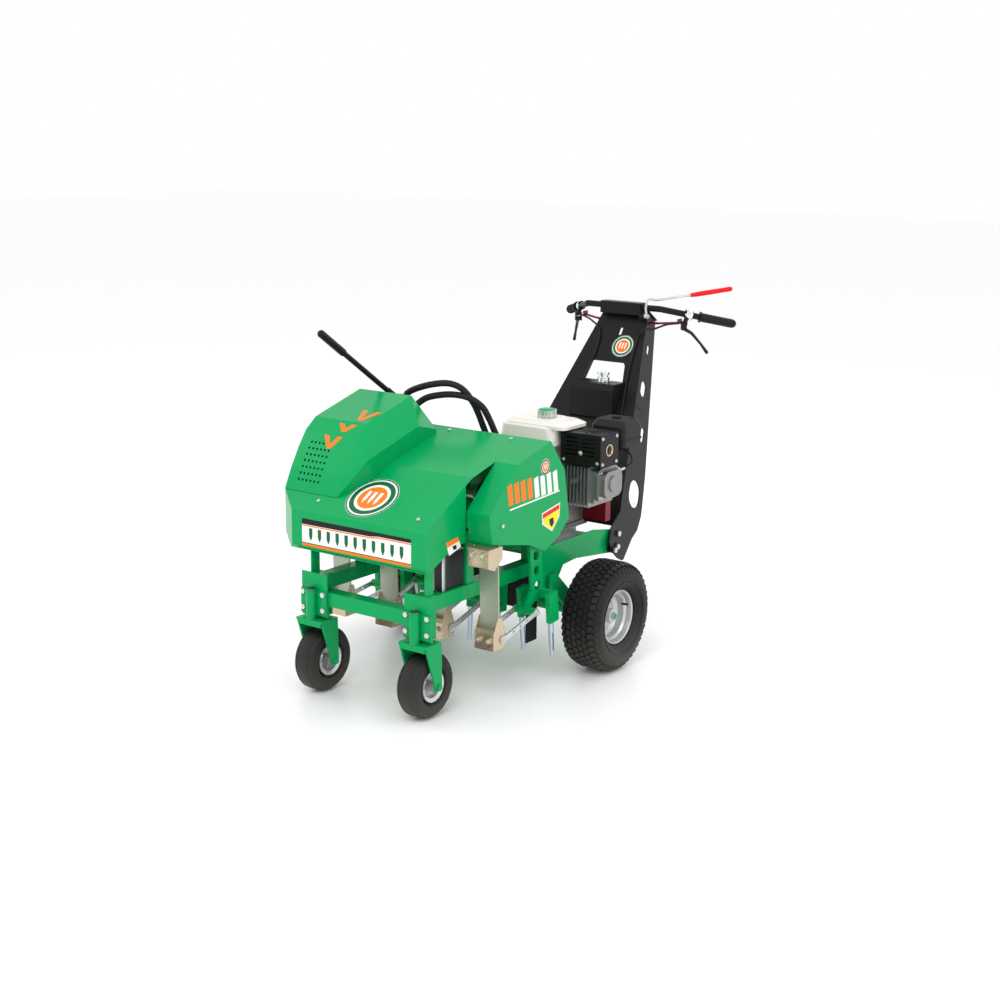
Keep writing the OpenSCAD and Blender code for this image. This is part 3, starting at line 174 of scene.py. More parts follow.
def buildWear():
    # a tint that drifts slowly, with rubbed edges and a little dust near the ground
    group, given, out = newGroup("wearAndDust",
                                 [("Colour", colour, None), ("Worn", colour, None),
                                  ("Dust", colour, (0.35, 0.33, 0.28, 1)),
                                  ("Wear", number, 0.3), ("Drift", number, 0.08), ("Dirt", number, 0.1)],
                                 [("Colour", colour), ("Mask", number)])
    link = group.links.new
    coords = group.nodes.new("ShaderNodeTexCoord")
    slow = group.nodes.new("ShaderNodeTexNoise")
    slow.inputs["Scale"].default_value = 6
    slow.inputs["Detail"].default_value = 3
    link(coords.outputs["Object"], slow.inputs["Vector"])
    shade = group.nodes.new("ShaderNodeHueSaturation")
    tone = group.nodes.new("ShaderNodeMapRange")
    tone.inputs["To Min"].default_value = 1.0
    link(slow.outputs["Fac"], tone.inputs["Value"])
    spread = group.nodes.new("ShaderNodeMath")
    spread.operation = "SUBTRACT"
    spread.inputs[0].default_value = 1.0
    link(given.outputs["Drift"], spread.inputs[1])
    link(spread.outputs[0], tone.inputs["To Max"])
    link(tone.outputs["Result"], shade.inputs["Value"])
    link(given.outputs["Colour"], shade.inputs["Color"])
    # edges: where the softened normal leaves the true one
    bevel = group.nodes.new("ShaderNodeBevel")
    bevel.samples = 4
    bevel.inputs["Radius"].default_value = 0.0016
    flat = group.nodes.new("ShaderNodeNewGeometry")
    dot = group.nodes.new("ShaderNodeVectorMath")
    dot.operation = "DOT_PRODUCT"
    link(bevel.outputs["Normal"], dot.inputs[0])
    link(flat.outputs["True Normal"], dot.inputs[1])
    edge = group.nodes.new("ShaderNodeMapRange")
    edge.inputs["From Min"].default_value = 0.97
    edge.inputs["From Max"].default_value = 0.75
    link(dot.outputs["Value"], edge.inputs["Value"])
    patches = group.nodes.new("ShaderNodeTexNoise")
    patches.inputs["Scale"].default_value = 45
    link(coords.outputs["Object"], patches.inputs["Vector"])
    broken = group.nodes.new("ShaderNodeMapRange")
    broken.inputs["From Min"].default_value = 0.45
    broken.inputs["From Max"].default_value = 0.65
    link(patches.outputs["Fac"], broken.inputs["Value"])
    rubbed = group.nodes.new("ShaderNodeMath")
    rubbed.operation = "MULTIPLY"
    link(edge.outputs["Result"], rubbed.inputs[0])
    link(broken.outputs["Result"], rubbed.inputs[1])
    amount = group.nodes.new("ShaderNodeMath")
    amount.operation = "MULTIPLY"
    link(rubbed.outputs[0], amount.inputs[0])
    link(given.outputs["Wear"], amount.inputs[1])
    worn = group.nodes.new("ShaderNodeMix")
    worn.data_type = "RGBA"
    link(amount.outputs[0], worn.inputs["Factor"])
    link(shade.outputs["Color"], worn.inputs[6])
    link(given.outputs["Worn"], worn.inputs[7])
    # dust low down
    split = group.nodes.new("ShaderNodeSeparateXYZ")
    link(coords.outputs["Object"], split.inputs["Vector"])
    low = group.nodes.new("ShaderNodeMapRange")
    low.inputs["From Min"].default_value = 0.22
    low.inputs["From Max"].default_value = 0.0
    link(split.outputs["Z"], low.inputs["Value"])
    dirty = group.nodes.new("ShaderNodeMath")
    dirty.operation = "MULTIPLY"
    link(low.outputs["Result"], dirty.inputs[0])
    link(given.outputs["Dirt"], dirty.inputs[1])
    dusty = group.nodes.new("ShaderNodeMix")
    dusty.data_type = "RGBA"
    link(dirty.outputs[0], dusty.inputs["Factor"])
    link(worn.outputs[2], dusty.inputs[6])
    link(given.outputs["Dust"], dusty.inputs[7])
    link(dusty.outputs[2], out.inputs["Colour"])
    link(amount.outputs[0], out.inputs["Mask"])
    return group


relief = buildRelief()
wear = buildWear()

# every finish: colour, worn colour, roughness, metal, coat, grain and wear
finishes = {
    "greenPaint": {"colour": (0.0, 0.345, 0.098), "worn": (0.05, 0.5, 0.22), "rough": 0.22, "shine": 0.14,
                   "coat": 0.05, "grain": 90, "depth": 0.03, "wear": 0.5, "drift": 0.1},
    "blackPaint": {"colour": (0.0095, 0.009, 0.009), "worn": (0.06, 0.06, 0.06), "rough": 0.34,
                   "shine": 0.16, "grain": 900, "depth": 0.18, "wear": 0.5},
    "redPaint": {"colour": (0.2, 0.003, 0.012), "worn": (0.3, 0.03, 0.04), "rough": 0.3, "shine": 0.25,
                 "grain": 500, "depth": 0.1, "wear": 0.3},
    "redGrip": {"colour": (0.8, 0.008, 0.012), "worn": (0.8, 0.1, 0.08), "rough": 0.38, "shine": 0.2,
                "grain": 700, "depth": 0.2, "wear": 0.1},
    "zincPlate": {"colour": (0.7, 0.71, 0.72), "worn": (0.85, 0.85, 0.85), "rough": 0.27, "metal": 0.8,
                  "grain": 300, "depth": 0.12, "wear": 0.4, "drift": 0.2},
    "yellowZinc": {"colour": (0.72, 0.58, 0.4), "worn": (0.8, 0.74, 0.6), "rough": 0.26, "metal": 0.75,
                   "grain": 120, "depth": 0.1, "wear": 0.5, "drift": 0.35},
    "stripSteel": {"colour": (0.5, 0.53, 0.42), "worn": (0.7, 0.7, 0.66), "rough": 0.33, "metal": 0.5,
                   "grain": 60, "depth": 0.08, "wear": 0.4, "drift": 0.3},
    "bareSteel": {"colour": (0.5, 0.51, 0.52), "worn": (0.7, 0.7, 0.7), "rough": 0.3, "metal": 1,
                  "grain": 350, "depth": 0.12, "wear": 0.4},
    "darkSteel": {"colour": (0.09, 0.09, 0.09), "worn": (0.3, 0.3, 0.3), "rough": 0.4, "metal": 0.8,
                  "grain": 300, "depth": 0.2, "wear": 0.5},
    "castGrey": {"colour": (0.024, 0.025, 0.028), "worn": (0.2, 0.2, 0.2), "rough": 0.5, "metal": 0.3,
                 "grain": 260, "depth": 0.4, "wear": 0.4},
    "tineSteel": {"colour": (0.52, 0.6, 0.7), "worn": (0.8, 0.82, 0.85), "rough": 0.22, "metal": 1,
                  "grain": 200, "depth": 0.05, "wear": 0.3},
    "silverPaint": {"colour": (0.58, 0.59, 0.6), "worn": (0.7, 0.7, 0.7), "rough": 0.3, "metal": 0.55,
                    "grain": 300, "depth": 0.06, "wear": 0.3},
    "castAluminium": {"colour": (0.3, 0.3, 0.3), "worn": (0.6, 0.6, 0.6), "rough": 0.42, "metal": 0.9,
                      "grain": 420, "depth": 0.35, "wear": 0.5},
    "chromePlate": {"colour": (0.85, 0.86, 0.87), "worn": (0.9, 0.9, 0.9), "rough": 0.08, "metal": 1,
                    "grain": 200, "depth": 0.02, "wear": 0.1},
    "creamPlastic": {"colour": (0.83, 0.79, 0.73), "worn": (0.85, 0.83, 0.78), "rough": 0.3, "shine": 0.4,
                     "coat": 0.1, "grain": 60, "depth": 0.03, "wear": 0.2},
    "capPlastic": {"colour": (0.55, 0.62, 0.58), "worn": (0.8, 0.8, 0.8), "rough": 0.2, "metal": 0.6,
                   "grain": 200, "depth": 0.05, "wear": 0.2},
    "blackPlastic": {"colour": (0.013, 0.013, 0.014), "worn": (0.05, 0.05, 0.05), "rough": 0.42,
                     "shine": 0.2, "grain": 1100, "depth": 0.35, "wear": 0.3},
    "softRubber": {"colour": (0.011, 0.011, 0.011), "worn": (0.05, 0.05, 0.05), "rough": 0.5, "shine": 0.22,
                   "grain": 700, "depth": 0.25, "wear": 0.3},
    "tyreRubber": {"colour": (0.0105, 0.0102, 0.01), "worn": (0.035, 0.035, 0.034), "rough": 0.5,
                   "shine": 0.22, "grain": 500, "depth": 0.3, "wear": 0.6, "dirt": 0.12},
    "labelWhite": {"colour": (0.85, 0.85, 0.83), "worn": (0.7, 0.7, 0.7), "rough": 0.3, "shine": 0.2,
                   "grain": 80, "depth": 0.01, "wear": 0.0},
    "labelBlack": {"colour": (0.01, 0.01, 0.01), "worn": (0.1, 0.1, 0.1), "rough": 0.3, "shine": 0.2,
                   "grain": 80, "depth": 0.01, "wear": 0.0},
    "labelOrange": {"colour": (0.95, 0.2, 0.008), "worn": (0.9, 0.3, 0.1), "rough": 0.32, "shine": 0.2,
                    "grain": 80, "depth": 0.01, "wear": 0.0},
    "labelGreen": {"colour": (0.0, 0.13, 0.04), "worn": (0.1, 0.3, 0.15), "rough": 0.32, "shine": 0.2,
                   "grain": 80, "depth": 0.01, "wear": 0.0},
    "labelYellow": {"colour": (0.95, 0.75, 0.03), "worn": (0.9, 0.8, 0.3), "rough": 0.32, "shine": 0.2,
                    "grain": 80, "depth": 0.01, "wear": 0.0},
    "labelRed": {"colour": (0.75, 0.02, 0.015), "worn": (0.8, 0.2, 0.1), "rough": 0.32, "shine": 0.2,
                 "grain": 80, "depth": 0.01, "wear": 0.0},
}


def makeFinish(name, spec):
    material = bpy.data.materials.new(name)
    material.use_nodes = True
    tree = material.node_tree
    shader = tree.nodes["Principled BSDF"]
    tint = tree.nodes.new("ShaderNodeGroup")
    tint.node_tree = wear
    tint.inputs["Colour"].default_value = (*spec["colour"], 1)
    tint.inputs["Worn"].default_value = (*spec["worn"], 1)
    tint.inputs["Wear"].default_value = spec["wear"]
    tint.inputs["Drift"].default_value = spec.get("drift", 0.08)
    tint.inputs["Dirt"].default_value = spec.get("dirt", 0.03)
    skin = tree.nodes.new("ShaderNodeGroup")
    skin.node_tree = relief
    skin.inputs["Scale"].default_value = spec["grain"]
    skin.inputs["Depth"].default_value = spec["depth"]
    rough = tree.nodes.new("ShaderNodeMapRange")
    rough.inputs["To Min"].default_value = spec["rough"] * 0.8
    rough.inputs["To Max"].default_value = min(1, spec["rough"] * 1.25)
    tree.links.new(skin.outputs["Grain"], rough.inputs["Value"])
    tree.links.new(rough.outputs["Result"], shader.inputs["Roughness"])
    tree.links.new(tint.outputs["Colour"], shader.inputs["Base Color"])
    tree.links.new(skin.outputs["Normal"], shader.inputs["Normal"])
    shader.inputs["Metallic"].default_value = spec.get("metal", 0)
    shader.inputs["Specular IOR Level"].default_value = spec.get("shine", 0.5)
    shader.inputs["Coat Weight"].default_value = spec.get("coat", 0)
    shader.inputs["Coat Roughness"].default_value = 0.12
    return material


finish = {name: makeFinish(name, spec) for name, spec in finishes.items()}
slotFinish = {"green_paint": "greenPaint", "zinc_steel": "zincPlate", "silver_paint": "silverPaint",
              "tyre_rubber": "tyreRubber", "bare_steel": "bareSteel", "dark_steel": "darkSteel",
              "cast_grey": "castGrey", "tine_steel": "tineSteel", "strip_steel": "stripSteel",
              "yellow_zinc": "yellowZinc", "black_rubber": "softRubber",
              "engine_aluminium": "castAluminium",
              "cream_plastic": "creamPlastic", "cap_plastic": "capPlastic", "black_paint": "blackPaint",
              "black_plastic": "blackPlastic", "red_paint": "redPaint", "chrome_plate": "chromePlate"}
slotOf = {part["node"]: part["material_slot"] for part in frame["record"]["subparts"]}


def paintNodes():
    for name, piece in nodes.items():
        piece.data.materials.clear()
        piece.data.materials.append(finish[slotFinish[slotOf[name]]])


paintNodes()
print("finishes made")


# modelling helpers
def clearChoice():
    bpy.ops.object.select_all(action="DESELECT")


def only(piece):
    clearChoice()
    piece.select_set(True)
    bpy.context.view_layer.objects.active = piece


def settle(piece):
    only(piece)
    bpy.ops.object.transform_apply(location=True, rotation=True, scale=True)


def roundEdges(piece, width, segments=2):
    only(piece)
    bevel = piece.modifiers.new("roundEdges", "BEVEL")
    bevel.width = width
    bevel.segments = segments
    bevel.limit_method = "ANGLE"
    bevel.angle_limit = math.radians(40)
    bpy.ops.object.modifier_apply(modifier=bevel.name)


def block(name, low, high, edge=0.001, segments=2):
    low = Vector(low)
    high = Vector(high)
    clearChoice()
    bpy.ops.mesh.primitive_cube_add(size=1, location=(low + high) / 2)
    piece = bpy.context.object
    piece.name = name
    piece.scale = high - low
    settle(piece)
    roundEdges(piece, edge, segments)
    return piece


def rod(name, start, end, radius, edge=0.0008, sides=32):
    start = Vector(start)
    end = Vector(end)
    along = end - start
    clearChoice()
    bpy.ops.mesh.primitive_cylinder_add(vertices=sides, radius=radius, depth=along.length)
    piece = bpy.context.object
    piece.name = name
    piece.rotation_euler = along.to_track_quat("Z", "Y").to_euler()
    piece.location = (start + end) / 2
    settle(piece)
    if edge:
        roundEdges(piece, edge)
    return piece


def lathe(name, profile, centre, axis, steps=64):
    # a row of points (radius, along) turned about an axis
    clearChoice()
    axis = Vector(axis).normalized()
    centre = Vector(centre)
    side = axis.orthogonal().normalized()
    bpy.ops.mesh.primitive_plane_add(size=0.01, location=centre)
    piece = bpy.context.object
    piece.name = name
    settle(piece)
    bpy.ops.object.mode_set(mode="EDIT")
    bpy.ops.mesh.select_all(action="SELECT")
    bpy.ops.mesh.merge(type="CENTER")
    first = centre + side * profile[0][0] + axis * profile[0][1]
    bpy.ops.transform.translate(value=first - centre)
    here = first
    for radius, along in profile[1:]:
        there = centre + side * radius + axis * along
        bpy.ops.mesh.extrude_region_move(TRANSFORM_OT_translate={"value": there - here})
        here = there
    bpy.ops.mesh.select_all(action="SELECT")
    bpy.ops.mesh.spin(steps=steps, angle=2 * math.pi, center=centre, axis=axis)
    bpy.ops.mesh.select_all(action="SELECT")
    bpy.ops.mesh.remove_doubles(threshold=0.00002)
    bpy.ops.mesh.normals_make_consistent(inside=False)
    bpy.ops.object.mode_set(mode="OBJECT")
    return piece


def tube(name, points, radius, smooth=8, sides=12):
    # a round bar along points, with its bends eased
    curve = bpy.data.curves.new(name, "CURVE")
    curve.dimensions = "3D"
    spline = curve.splines.new("BEZIER")
    spline.bezier_points.add(len(points) - 1)
    for knot, point in zip(spline.bezier_points, points):
        knot.co = point
        knot.handle_left_type = "AUTO"
        knot.handle_right_type = "AUTO"
    curve.resolution_u = smooth
    curve.bevel_depth = radius
    curve.bevel_resolution = max(1, sides // 4 - 1)
    curve.use_fill_caps = True
    piece = bpy.data.objects.new(name, curve)
    bpy.context.scene.collection.objects.link(piece)
    only(piece)
    bpy.ops.object.convert(target="MESH")
    return bpy.context.object


def ring(name, centre, axis, major, minor, sides=48, around=10):
    clearChoice()
    bpy.ops.mesh.primitive_torus_add(major_radius=major, minor_radius=minor, major_segments=sides,
                                     minor_segments=around, location=centre)
    piece = bpy.context.object
    piece.name = name
    piece.rotation_euler = Vector(axis).to_track_quat("Z", "Y").to_euler()
    settle(piece)
    return piece


def copyTurned(piece, centre, axis, angle):
    twin = piece.copy()
    twin.data = piece.data.copy()
    bpy.context.scene.collection.objects.link(twin)
    turn = Matrix.Translation(centre) @ Matrix.Rotation(angle, 4,
                                                        axis) @ Matrix.Translation(-Vector(centre))
    twin.data.transform(turn)
    return twin


def copyMoved(piece, shift):
    twin = piece.copy()
    twin.data = piece.data.copy()
    bpy.context.scene.collection.objects.link(twin)
    twin.data.transform(Matrix.Translation(Vector(shift)))
    return twin


def join(name, parts):
    clearChoice()
    for part in parts:
        part.select_set(True)
    bpy.context.view_layer.objects.active = parts[0]
    if len(parts) > 1:
        bpy.ops.object.join()
    piece = bpy.context.object
    piece.name = name
    return piece


def done(piece, body, look, smooth=35):
    only(piece)
    bpy.ops.object.shade_smooth_by_angle(angle=math.radians(smooth))
    piece.data.materials.clear()
    piece.data.materials.append(finish[look])
    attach(piece, body)
    return piece


def hexHead(name, spot, axis, across, height, washer=None):
    # a six-sided head with its corners eased, over a washer
    axis = Vector(axis).normalized()
    spot = Vector(spot)
    base = spot + axis * (0.0016 if washer else 0)
    parts = [rod(name, base, base + axis * height, across / 2 / math.cos(math.pi / 6), edge=0.0009,
                 sides=6)]
    if washer:
        parts.append(rod(name + "Washer", spot, base, washer, edge=0.0003))
    return join(name, parts)


# tyres
rearTyre = {"tread": 0.2026, "groove": 0.007, "shoulder": 0.044,
            "rows": (-0.054, -0.0335, -0.0112, 0.0112, 0.0335, 0.054),
            "blocks": 46, "blockLength": 0.0205, "blockWidth": 0.0165, "bead": 0.1045}
casterTyre = {"tread": 0.1142, "shoulder": 0.026, "bead": 0.0575,
              "grooves": (-0.0245, -0.0095, 0.0095, 0.0245)}


def arc(cx, cy, r, a0, a1, n):
    return [(cx + r * math.sin(math.radians(a0 + (a1 - a0) * k / n)),
             cy + r * math.cos(math.radians(a0 + (a1 - a0) * k / n))) for k in range(n + 1)]


def tyreProfile(r, half, shoulder, bead):
    # from the crown's middle over the shoulder and sidewall to the bead, and round the inside
    wall = 0.006
    over = [(r - 0.0006, half * 0.3), (r - 0.0022, half - shoulder)]
    bend = arc(r - shoulder - 0.003, half - shoulder, shoulder, 84, 14, 7)
    side = [(bead + (r - bead) * 0.42, half - 0.001), (bead + (r - bead) * 0.2, half - 0.006),
            (bead + 0.009, half - 0.015), (bead + 0.003, half - 0.020), (bead, half - 0.024)]
    inner = [(bead, half - 0.024 - wall), (bead + 0.012, half - 0.018 - wall),
             (r - shoulder, half - 2 * wall),
             (r - 2.2 * wall, half - shoulder)]
    right = over + bend + side + inner
    left = [(radius, -along) for radius, along in reversed(right)]
    return left + right + [left[0]]


def makeRearTyre(side):
    spec = rearTyre
    node = "rear_tyre_" + side
    low, high = (Vector(v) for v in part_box(node))
    centre = (low + high) / 2
    half = (high.x - low.x) / 2
    carcass = lathe("rearTyreCarcass", tyreProfile(spec["tread"] - spec["groove"], half, spec["shoulder"],
                                                   spec["bead"]),
                    centre, (1, 0, 0), 96)
    step = 2 * math.pi / spec["blocks"]
    blocks = []
    for row, offset in enumerate(spec["rows"]):
        edge = abs(offset) / half
        reach = spec["tread"] - (0.0046 if edge > 0.6 else 0.0006)
        deep = 0.0125 if edge > 0.6 else 0.009
        wide = spec["blockWidth"] * (1.25 if edge > 0.6 else 1)
        size = Vector((wide, spec["blockLength"], deep))
        spot = centre + Vector((offset, 0, reach - deep / 2))
        one = block("treadBlock", spot - size / 2, spot + size / 2, 0.0022, 1)
        # lean each row the other way, and tip the outer rows over the shoulder
        lean = Matrix.Rotation(math.radians(24 if row % 2 else -24), 4, "Z")
        tip = Matrix.Rotation(math.radians(22) * (1 if offset > 0 else -1) if edge > 0.6 else 0, 4, "Y")
        one.data.transform(Matrix.Translation(spot) @ tip @ lean @ Matrix.Translation(-spot))
        for k in range(spec["blocks"]):
            blocks.append(copyTurned(one, centre, "X", step * (k + 0.5 * (row % 2))))
        bpy.data.objects.remove(one)
    # rows of lugs lower on each shoulder
    for sign in (-1, 1):
        spot = centre + Vector((sign * (half - 0.0105), 0, spec["tread"] - 0.031))
        size = Vector((0.009, 0.015, 0.026))
        one = block("shoulderLug", spot - size / 2, spot + size / 2, 0.002, 1)
        one.data.transform(Matrix.Translation(spot) @ Matrix.Rotation(math.radians(-26) * sign, 4, "Y")
                           @ Matrix.Translation(-spot))
        for k in range(spec["blocks"]):
            blocks.append(copyTurned(one, centre, "X", step * (k + 0.25)))
        bpy.data.objects.remove(one)
    rings = [ring("wallRing", centre + Vector((sign * (half - 0.0022), 0, 0)), (1, 0, 0), 0.134, 0.0018, 96)
             for sign in (-1, 1)]
    tread = join("rearTread_" + side, blocks)
    done(tread, "rear_wheel_" + side, "tyreRubber")
    tyre = join("rearTyre_" + side, [carcass] + rings)
    done(tyre, "rear_wheel_" + side, "tyreRubber", 50)
    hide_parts(node)


def makeCasterTyre(side):
    spec = casterTyre
    node = "caster_tyre_" + side
    low, high = (Vector(v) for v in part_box(node))
    centre = (low + high) / 2
    half = (high.x - low.x) / 2
    profile = tyreProfile(spec["tread"], half, spec["shoulder"], spec["bead"])
    tyre = lathe("casterTyre_" + side, profile, centre, (1, 0, 0), 96)
    # low ribs round the crown, and one on each wall
    ribs = [ring("crownRib", centre + Vector((x, 0, 0)), (1, 0, 0), spec["tread"] - 0.0012 - abs(x) * 0.09,
                 0.0017, 96)
            for x in spec["grooves"]]
    walls = [ring("wallRing", centre + Vector((sign * (half - 0.0016), 0, 0)), (1, 0, 0), 0.083, 0.0014, 80)
             for sign in (-1, 1)]
    tyre = join("casterTyre_" + side, [tyre] + ribs + walls)
    done(tyre, "caster_wheel_" + side, "tyreRubber", 50)
    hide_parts(node)


for side in ("left", "right"):
    makeRearTyre(side)
    makeCasterTyre(side)
print("tyres made")


# flat plates and labels
def plate(name, outline, push, edge=0.0):
    # a closed outline filled and given its thickness
    outline = [Vector(p) for p in outline]
    clearChoice()
    bpy.ops.mesh.primitive_plane_add(size=0.01, location=outline[0])
    piece = bpy.context.object
    piece.name = name
    settle(piece)
    bpy.ops.object.mode_set(mode="EDIT")
    bpy.ops.mesh.select_all(action="SELECT")
    bpy.ops.mesh.merge(type="CENTER")
    here = outline[0]
    for there in outline[1:] + outline[:1]:
        bpy.ops.mesh.extrude_region_move(TRANSFORM_OT_translate={"value": there - here})
        here = there
    bpy.ops.mesh.select_all(action="SELECT")
    bpy.ops.mesh.remove_doubles(threshold=0.00001)
    bpy.ops.mesh.edge_face_add()
    bpy.ops.mesh.extrude_region_move(TRANSFORM_OT_translate={"value": Vector(push)})
    bpy.ops.mesh.select_all(action="SELECT")
    bpy.ops.mesh.normals_make_consistent(inside=False)
    bpy.ops.object.mode_set(mode="OBJECT")
    if edge:
        roundEdges(piece, edge)
    return piece


def disc(name, centre, axis, inner, outer, thick):
    if inner:
        return lathe(name, [(inner, 0), (outer, 0), (outer, thick), (inner, thick), (inner, 0)], centre,
                     axis, 72)
    axis = Vector(axis).normalized()
    return rod(name, centre, Vector(centre) + axis * thick, outer, edge=0, sides=72)


labels = {
    "frontY": -845.1, "coverX": 360.1, "hoodX": 265.1, "film": 0.0003,
    "front": (-274, 206, 524, 620), "tines": 11, "tineWidth": 15, "tineTop": 589, "tineFoot": 547,
}


def frontLabel():
    spec = labels
    y = spec["frontY"]
    x0, x1, z0, z1 = spec["front"]
    out = Vector((0, -spec["film"], 0))

    def lay(name, points, depth, look):
        piece = plate(name, [at(x, y, z) + out * depth for x, z in points], out)
        return done(piece, "frame", look)

    lay("frontLabelField", [(x0, z0), (x1, z0), (x1, z1), (x0, z1)], 0, "labelWhite")
    lay("frontLabelBand", [(x0, 600), (30, 602), (64, 607), (x1, 607), (x1, z1), (x0, z1)], 1, "labelBlack")
    lay("frontLabelLine", [(x0, 594), (34, 596), (68, 601), (x1, 601), (x1, 605), (64, 605), (30, 600),
                           (x0, 598)], 1,
        "labelOrange")
    lay("frontLabelFoot", [(x0, z0), (x1, z0), (x1, z0 + 9), (x0, z0 + 9)], 1, "labelOrange")
    lay("frontLabelRim", [(x0, z0 + 9), (x1, z0 + 9), (x1, z0 + 12), (x0, z0 + 12)], 1, "labelGreen")
    half = spec["tineWidth"] / 2
    top, foot = spec["tineTop"], spec["tineFoot"]
    first = plate("frontLabelTines", [at(x0 + 40 + x, y, z) + out for x, z in
                                      ((-half, top), (half, top), (half, foot + 14), (2, foot), (-2, foot),
                                       (-half, foot + 14))], out)
    row = [first] + [copyMoved(first, (k * 0.040, 0, 0)) for k in range(1, spec["tines"])]
    done(join("frontLabelTines", row), "frame", "labelGreen")


def badge(name, centre, axis, radius):
    # plain roundel: ring, field and a little plug of turf
    axis = Vector(axis).normalized()
    film = labels["film"]
    done(disc(name + "Field", centre, axis, 0, radius, film), "frame", "labelWhite")
    up = centre + axis * film
    done(disc(name + "Rim", up, axis, radius * 0.93, radius * 0.985, film), "frame", "labelGreen")
    done(disc(name + "Ring", up, axis, radius * 0.68, radius * 0.86, film), "frame", "labelGreen")
    done(disc(name + "Heart", up, axis, 0, radius * 0.56, film), "frame", "labelOrange")
    across = Vector((1, 0, 0)) if abs(axis.x) < 0.5 else Vector((0, 1, 0))
    rise = across.cross(axis) * (-1 if across.cross(axis).z < 0 else 1)
    shapes = []
    for k in (-1, 0, 1):
        mid = up + axis * film + across * k * radius * 0.26
        outline = [mid + across * a * radius + rise * b * radius for a, b in
                   ((-0.07, 0.3), (0.07, 0.3), (0.07, -0.12), (0, -0.34), (-0.07, -0.12))]
        shapes.append(plate(name + "Tines", outline, axis * film))
    done(join(name + "Tines", shapes), "frame", "labelWhite")


def sideLabels():
    spec = labels
    out = Vector((spec["film"], 0, 0))

    def lay(name, points, depth, look, x=spec["coverX"]):
        piece = plate(name, [at(x, y, z) + out * depth for y, z in points], out)
        return done(piece, "frame", look)

    def bars(name, start, count, look):
        first = plate(name, [at(spec["coverX"], start + y, z) for y,
                             z in ((0, 690), (27, 694), (15, 768), (-11, 762))], out)
        row = [first] + [copyMoved(first, (0, k * 0.0385, k * 0.0012)) for k in range(1, count)]
        done(join(name, row), "frame", look)

    bars("coverBarsOrange", -512, 4, "labelOrange")
    bars("coverBarsWhite", -356, 4, "labelWhite")
    lay("coverUnderline", [(-506, 674), (-206, 690), (-206, 696), (-506, 680)], 0, "labelWhite")
    badge("coverBadge", at(spec["coverX"], -297, 792), (1, 0, 0), 0.030)
    lay("plainPatchBorder", [(-314, 630), (-201, 649), (-204, 599), (-248, 553), (-310, 589)], 0,
        "labelWhite")
    lay("plainPatchField", [(-309, 626), (-206, 643), (-208, 601), (-248, 559), (-305, 592)], 1,
        "labelYellow")
    lay("plainPatchBand", [(-309, 626), (-206, 643), (-207, 627), (-308, 610)], 2, "labelRed")
    lay("plainPatchMark", [(-268, 600), (-244, 604), (-238, 584), (-250, 570), (-264, 580)], 2,
        "labelBlack")
    lay("hoodPatchField", [(-735, 595), (-669, 603), (-652, 565), (-718, 547)], 0, "labelWhite",
        spec["hoodX"])
    lay("hoodPatchBand", [(-735, 595), (-669, 603), (-662, 588), (-729, 577)], 1, "labelOrange",
        spec["hoodX"])
    lay("hoodPatchMark", [(-700, 576), (-680, 578), (-676, 564), (-694, 562)], 1, "labelBlack",
        spec["hoodX"])


def slopeMarks():
    # three plain orange chevrons up the drive cover
    segments = [((-695, 830), (-655, 885)), ((-655, 885), (-604, 924)), ((-604, 924), (-362, 993))]
    marks = [(0, -287, 42, 8, 58), (1, -258, 40, 12, 50), (2, -232, 42, 14, 92)]
    film = labels["film"]
    for index, (which, middle, half, low, high) in enumerate(marks):
        a, b = (Vector((0, y, z)) for y, z in segments[which])
        along = (b - a).normalized()
        out = Vector((1, 0, 0)).cross(along)
        start = at(middle, a.y, a.z) + out * 0.0002
        side = Vector((half * mm, 0, 0))
        rise = along * mm
        outline = [start - side + rise * high, start - side * 0.45 + rise * high, start + rise * (low + 16),
                   start + side * 0.45 + rise * high, start + side + rise * high,
                   start + side * 0.2 + rise * low,
                   start - side * 0.2 + rise * low]
        done(plate(f"coverChevron{index + 1}", outline, out * film), "frame", "labelOrange")


frontLabel()
sideLabels()
slopeMarks()
slope = math.atan2(790 - 645, 845 - 594)
badge("hoodBadge", at(-45, -742, 645 + 103 * math.tan(slope)) + Vector((0, -math.sin(slope),
                                                                        math.cos(slope))) * 0.0002,
      (0, -math.sin(slope), math.cos(slope)), 0.098)
lean = math.radians(33)
badge("towerBadge", at(40, 309 + 750 * math.sin(lean),
                       450 + 750 * math.cos(lean)) + Vector((0, -math.cos(lean), math.sin(lean))) * 0.0002,
      (0, -math.cos(lean), math.sin(lean)), 0.049)
print("labels made")


# engage lever with its red grip
barY, barZ = 309 + 918 * math.sin(lean) - 28, 450 + 918 * math.cos(lean) + 12
leverRoute = [(122, -26, -30), (122, -26, 32), (152, 2, 35), (246, 118, 52), (360, 230, 76)]
engageLever = {"rod": 0.005, "profile": [(0, -0.006), (0.0065, -0.006), (0.0078, -0.002), (0.0092, 0.016),
                                         (0.0099, 0.04),
                                         (0.0099, 0.07), (0.0096, 0.11), (0.0094, 0.135), (0.0099, 0.152),
                                         (0.0094, 0.161), (0.006, 0.1680), (0, 0.170)]}


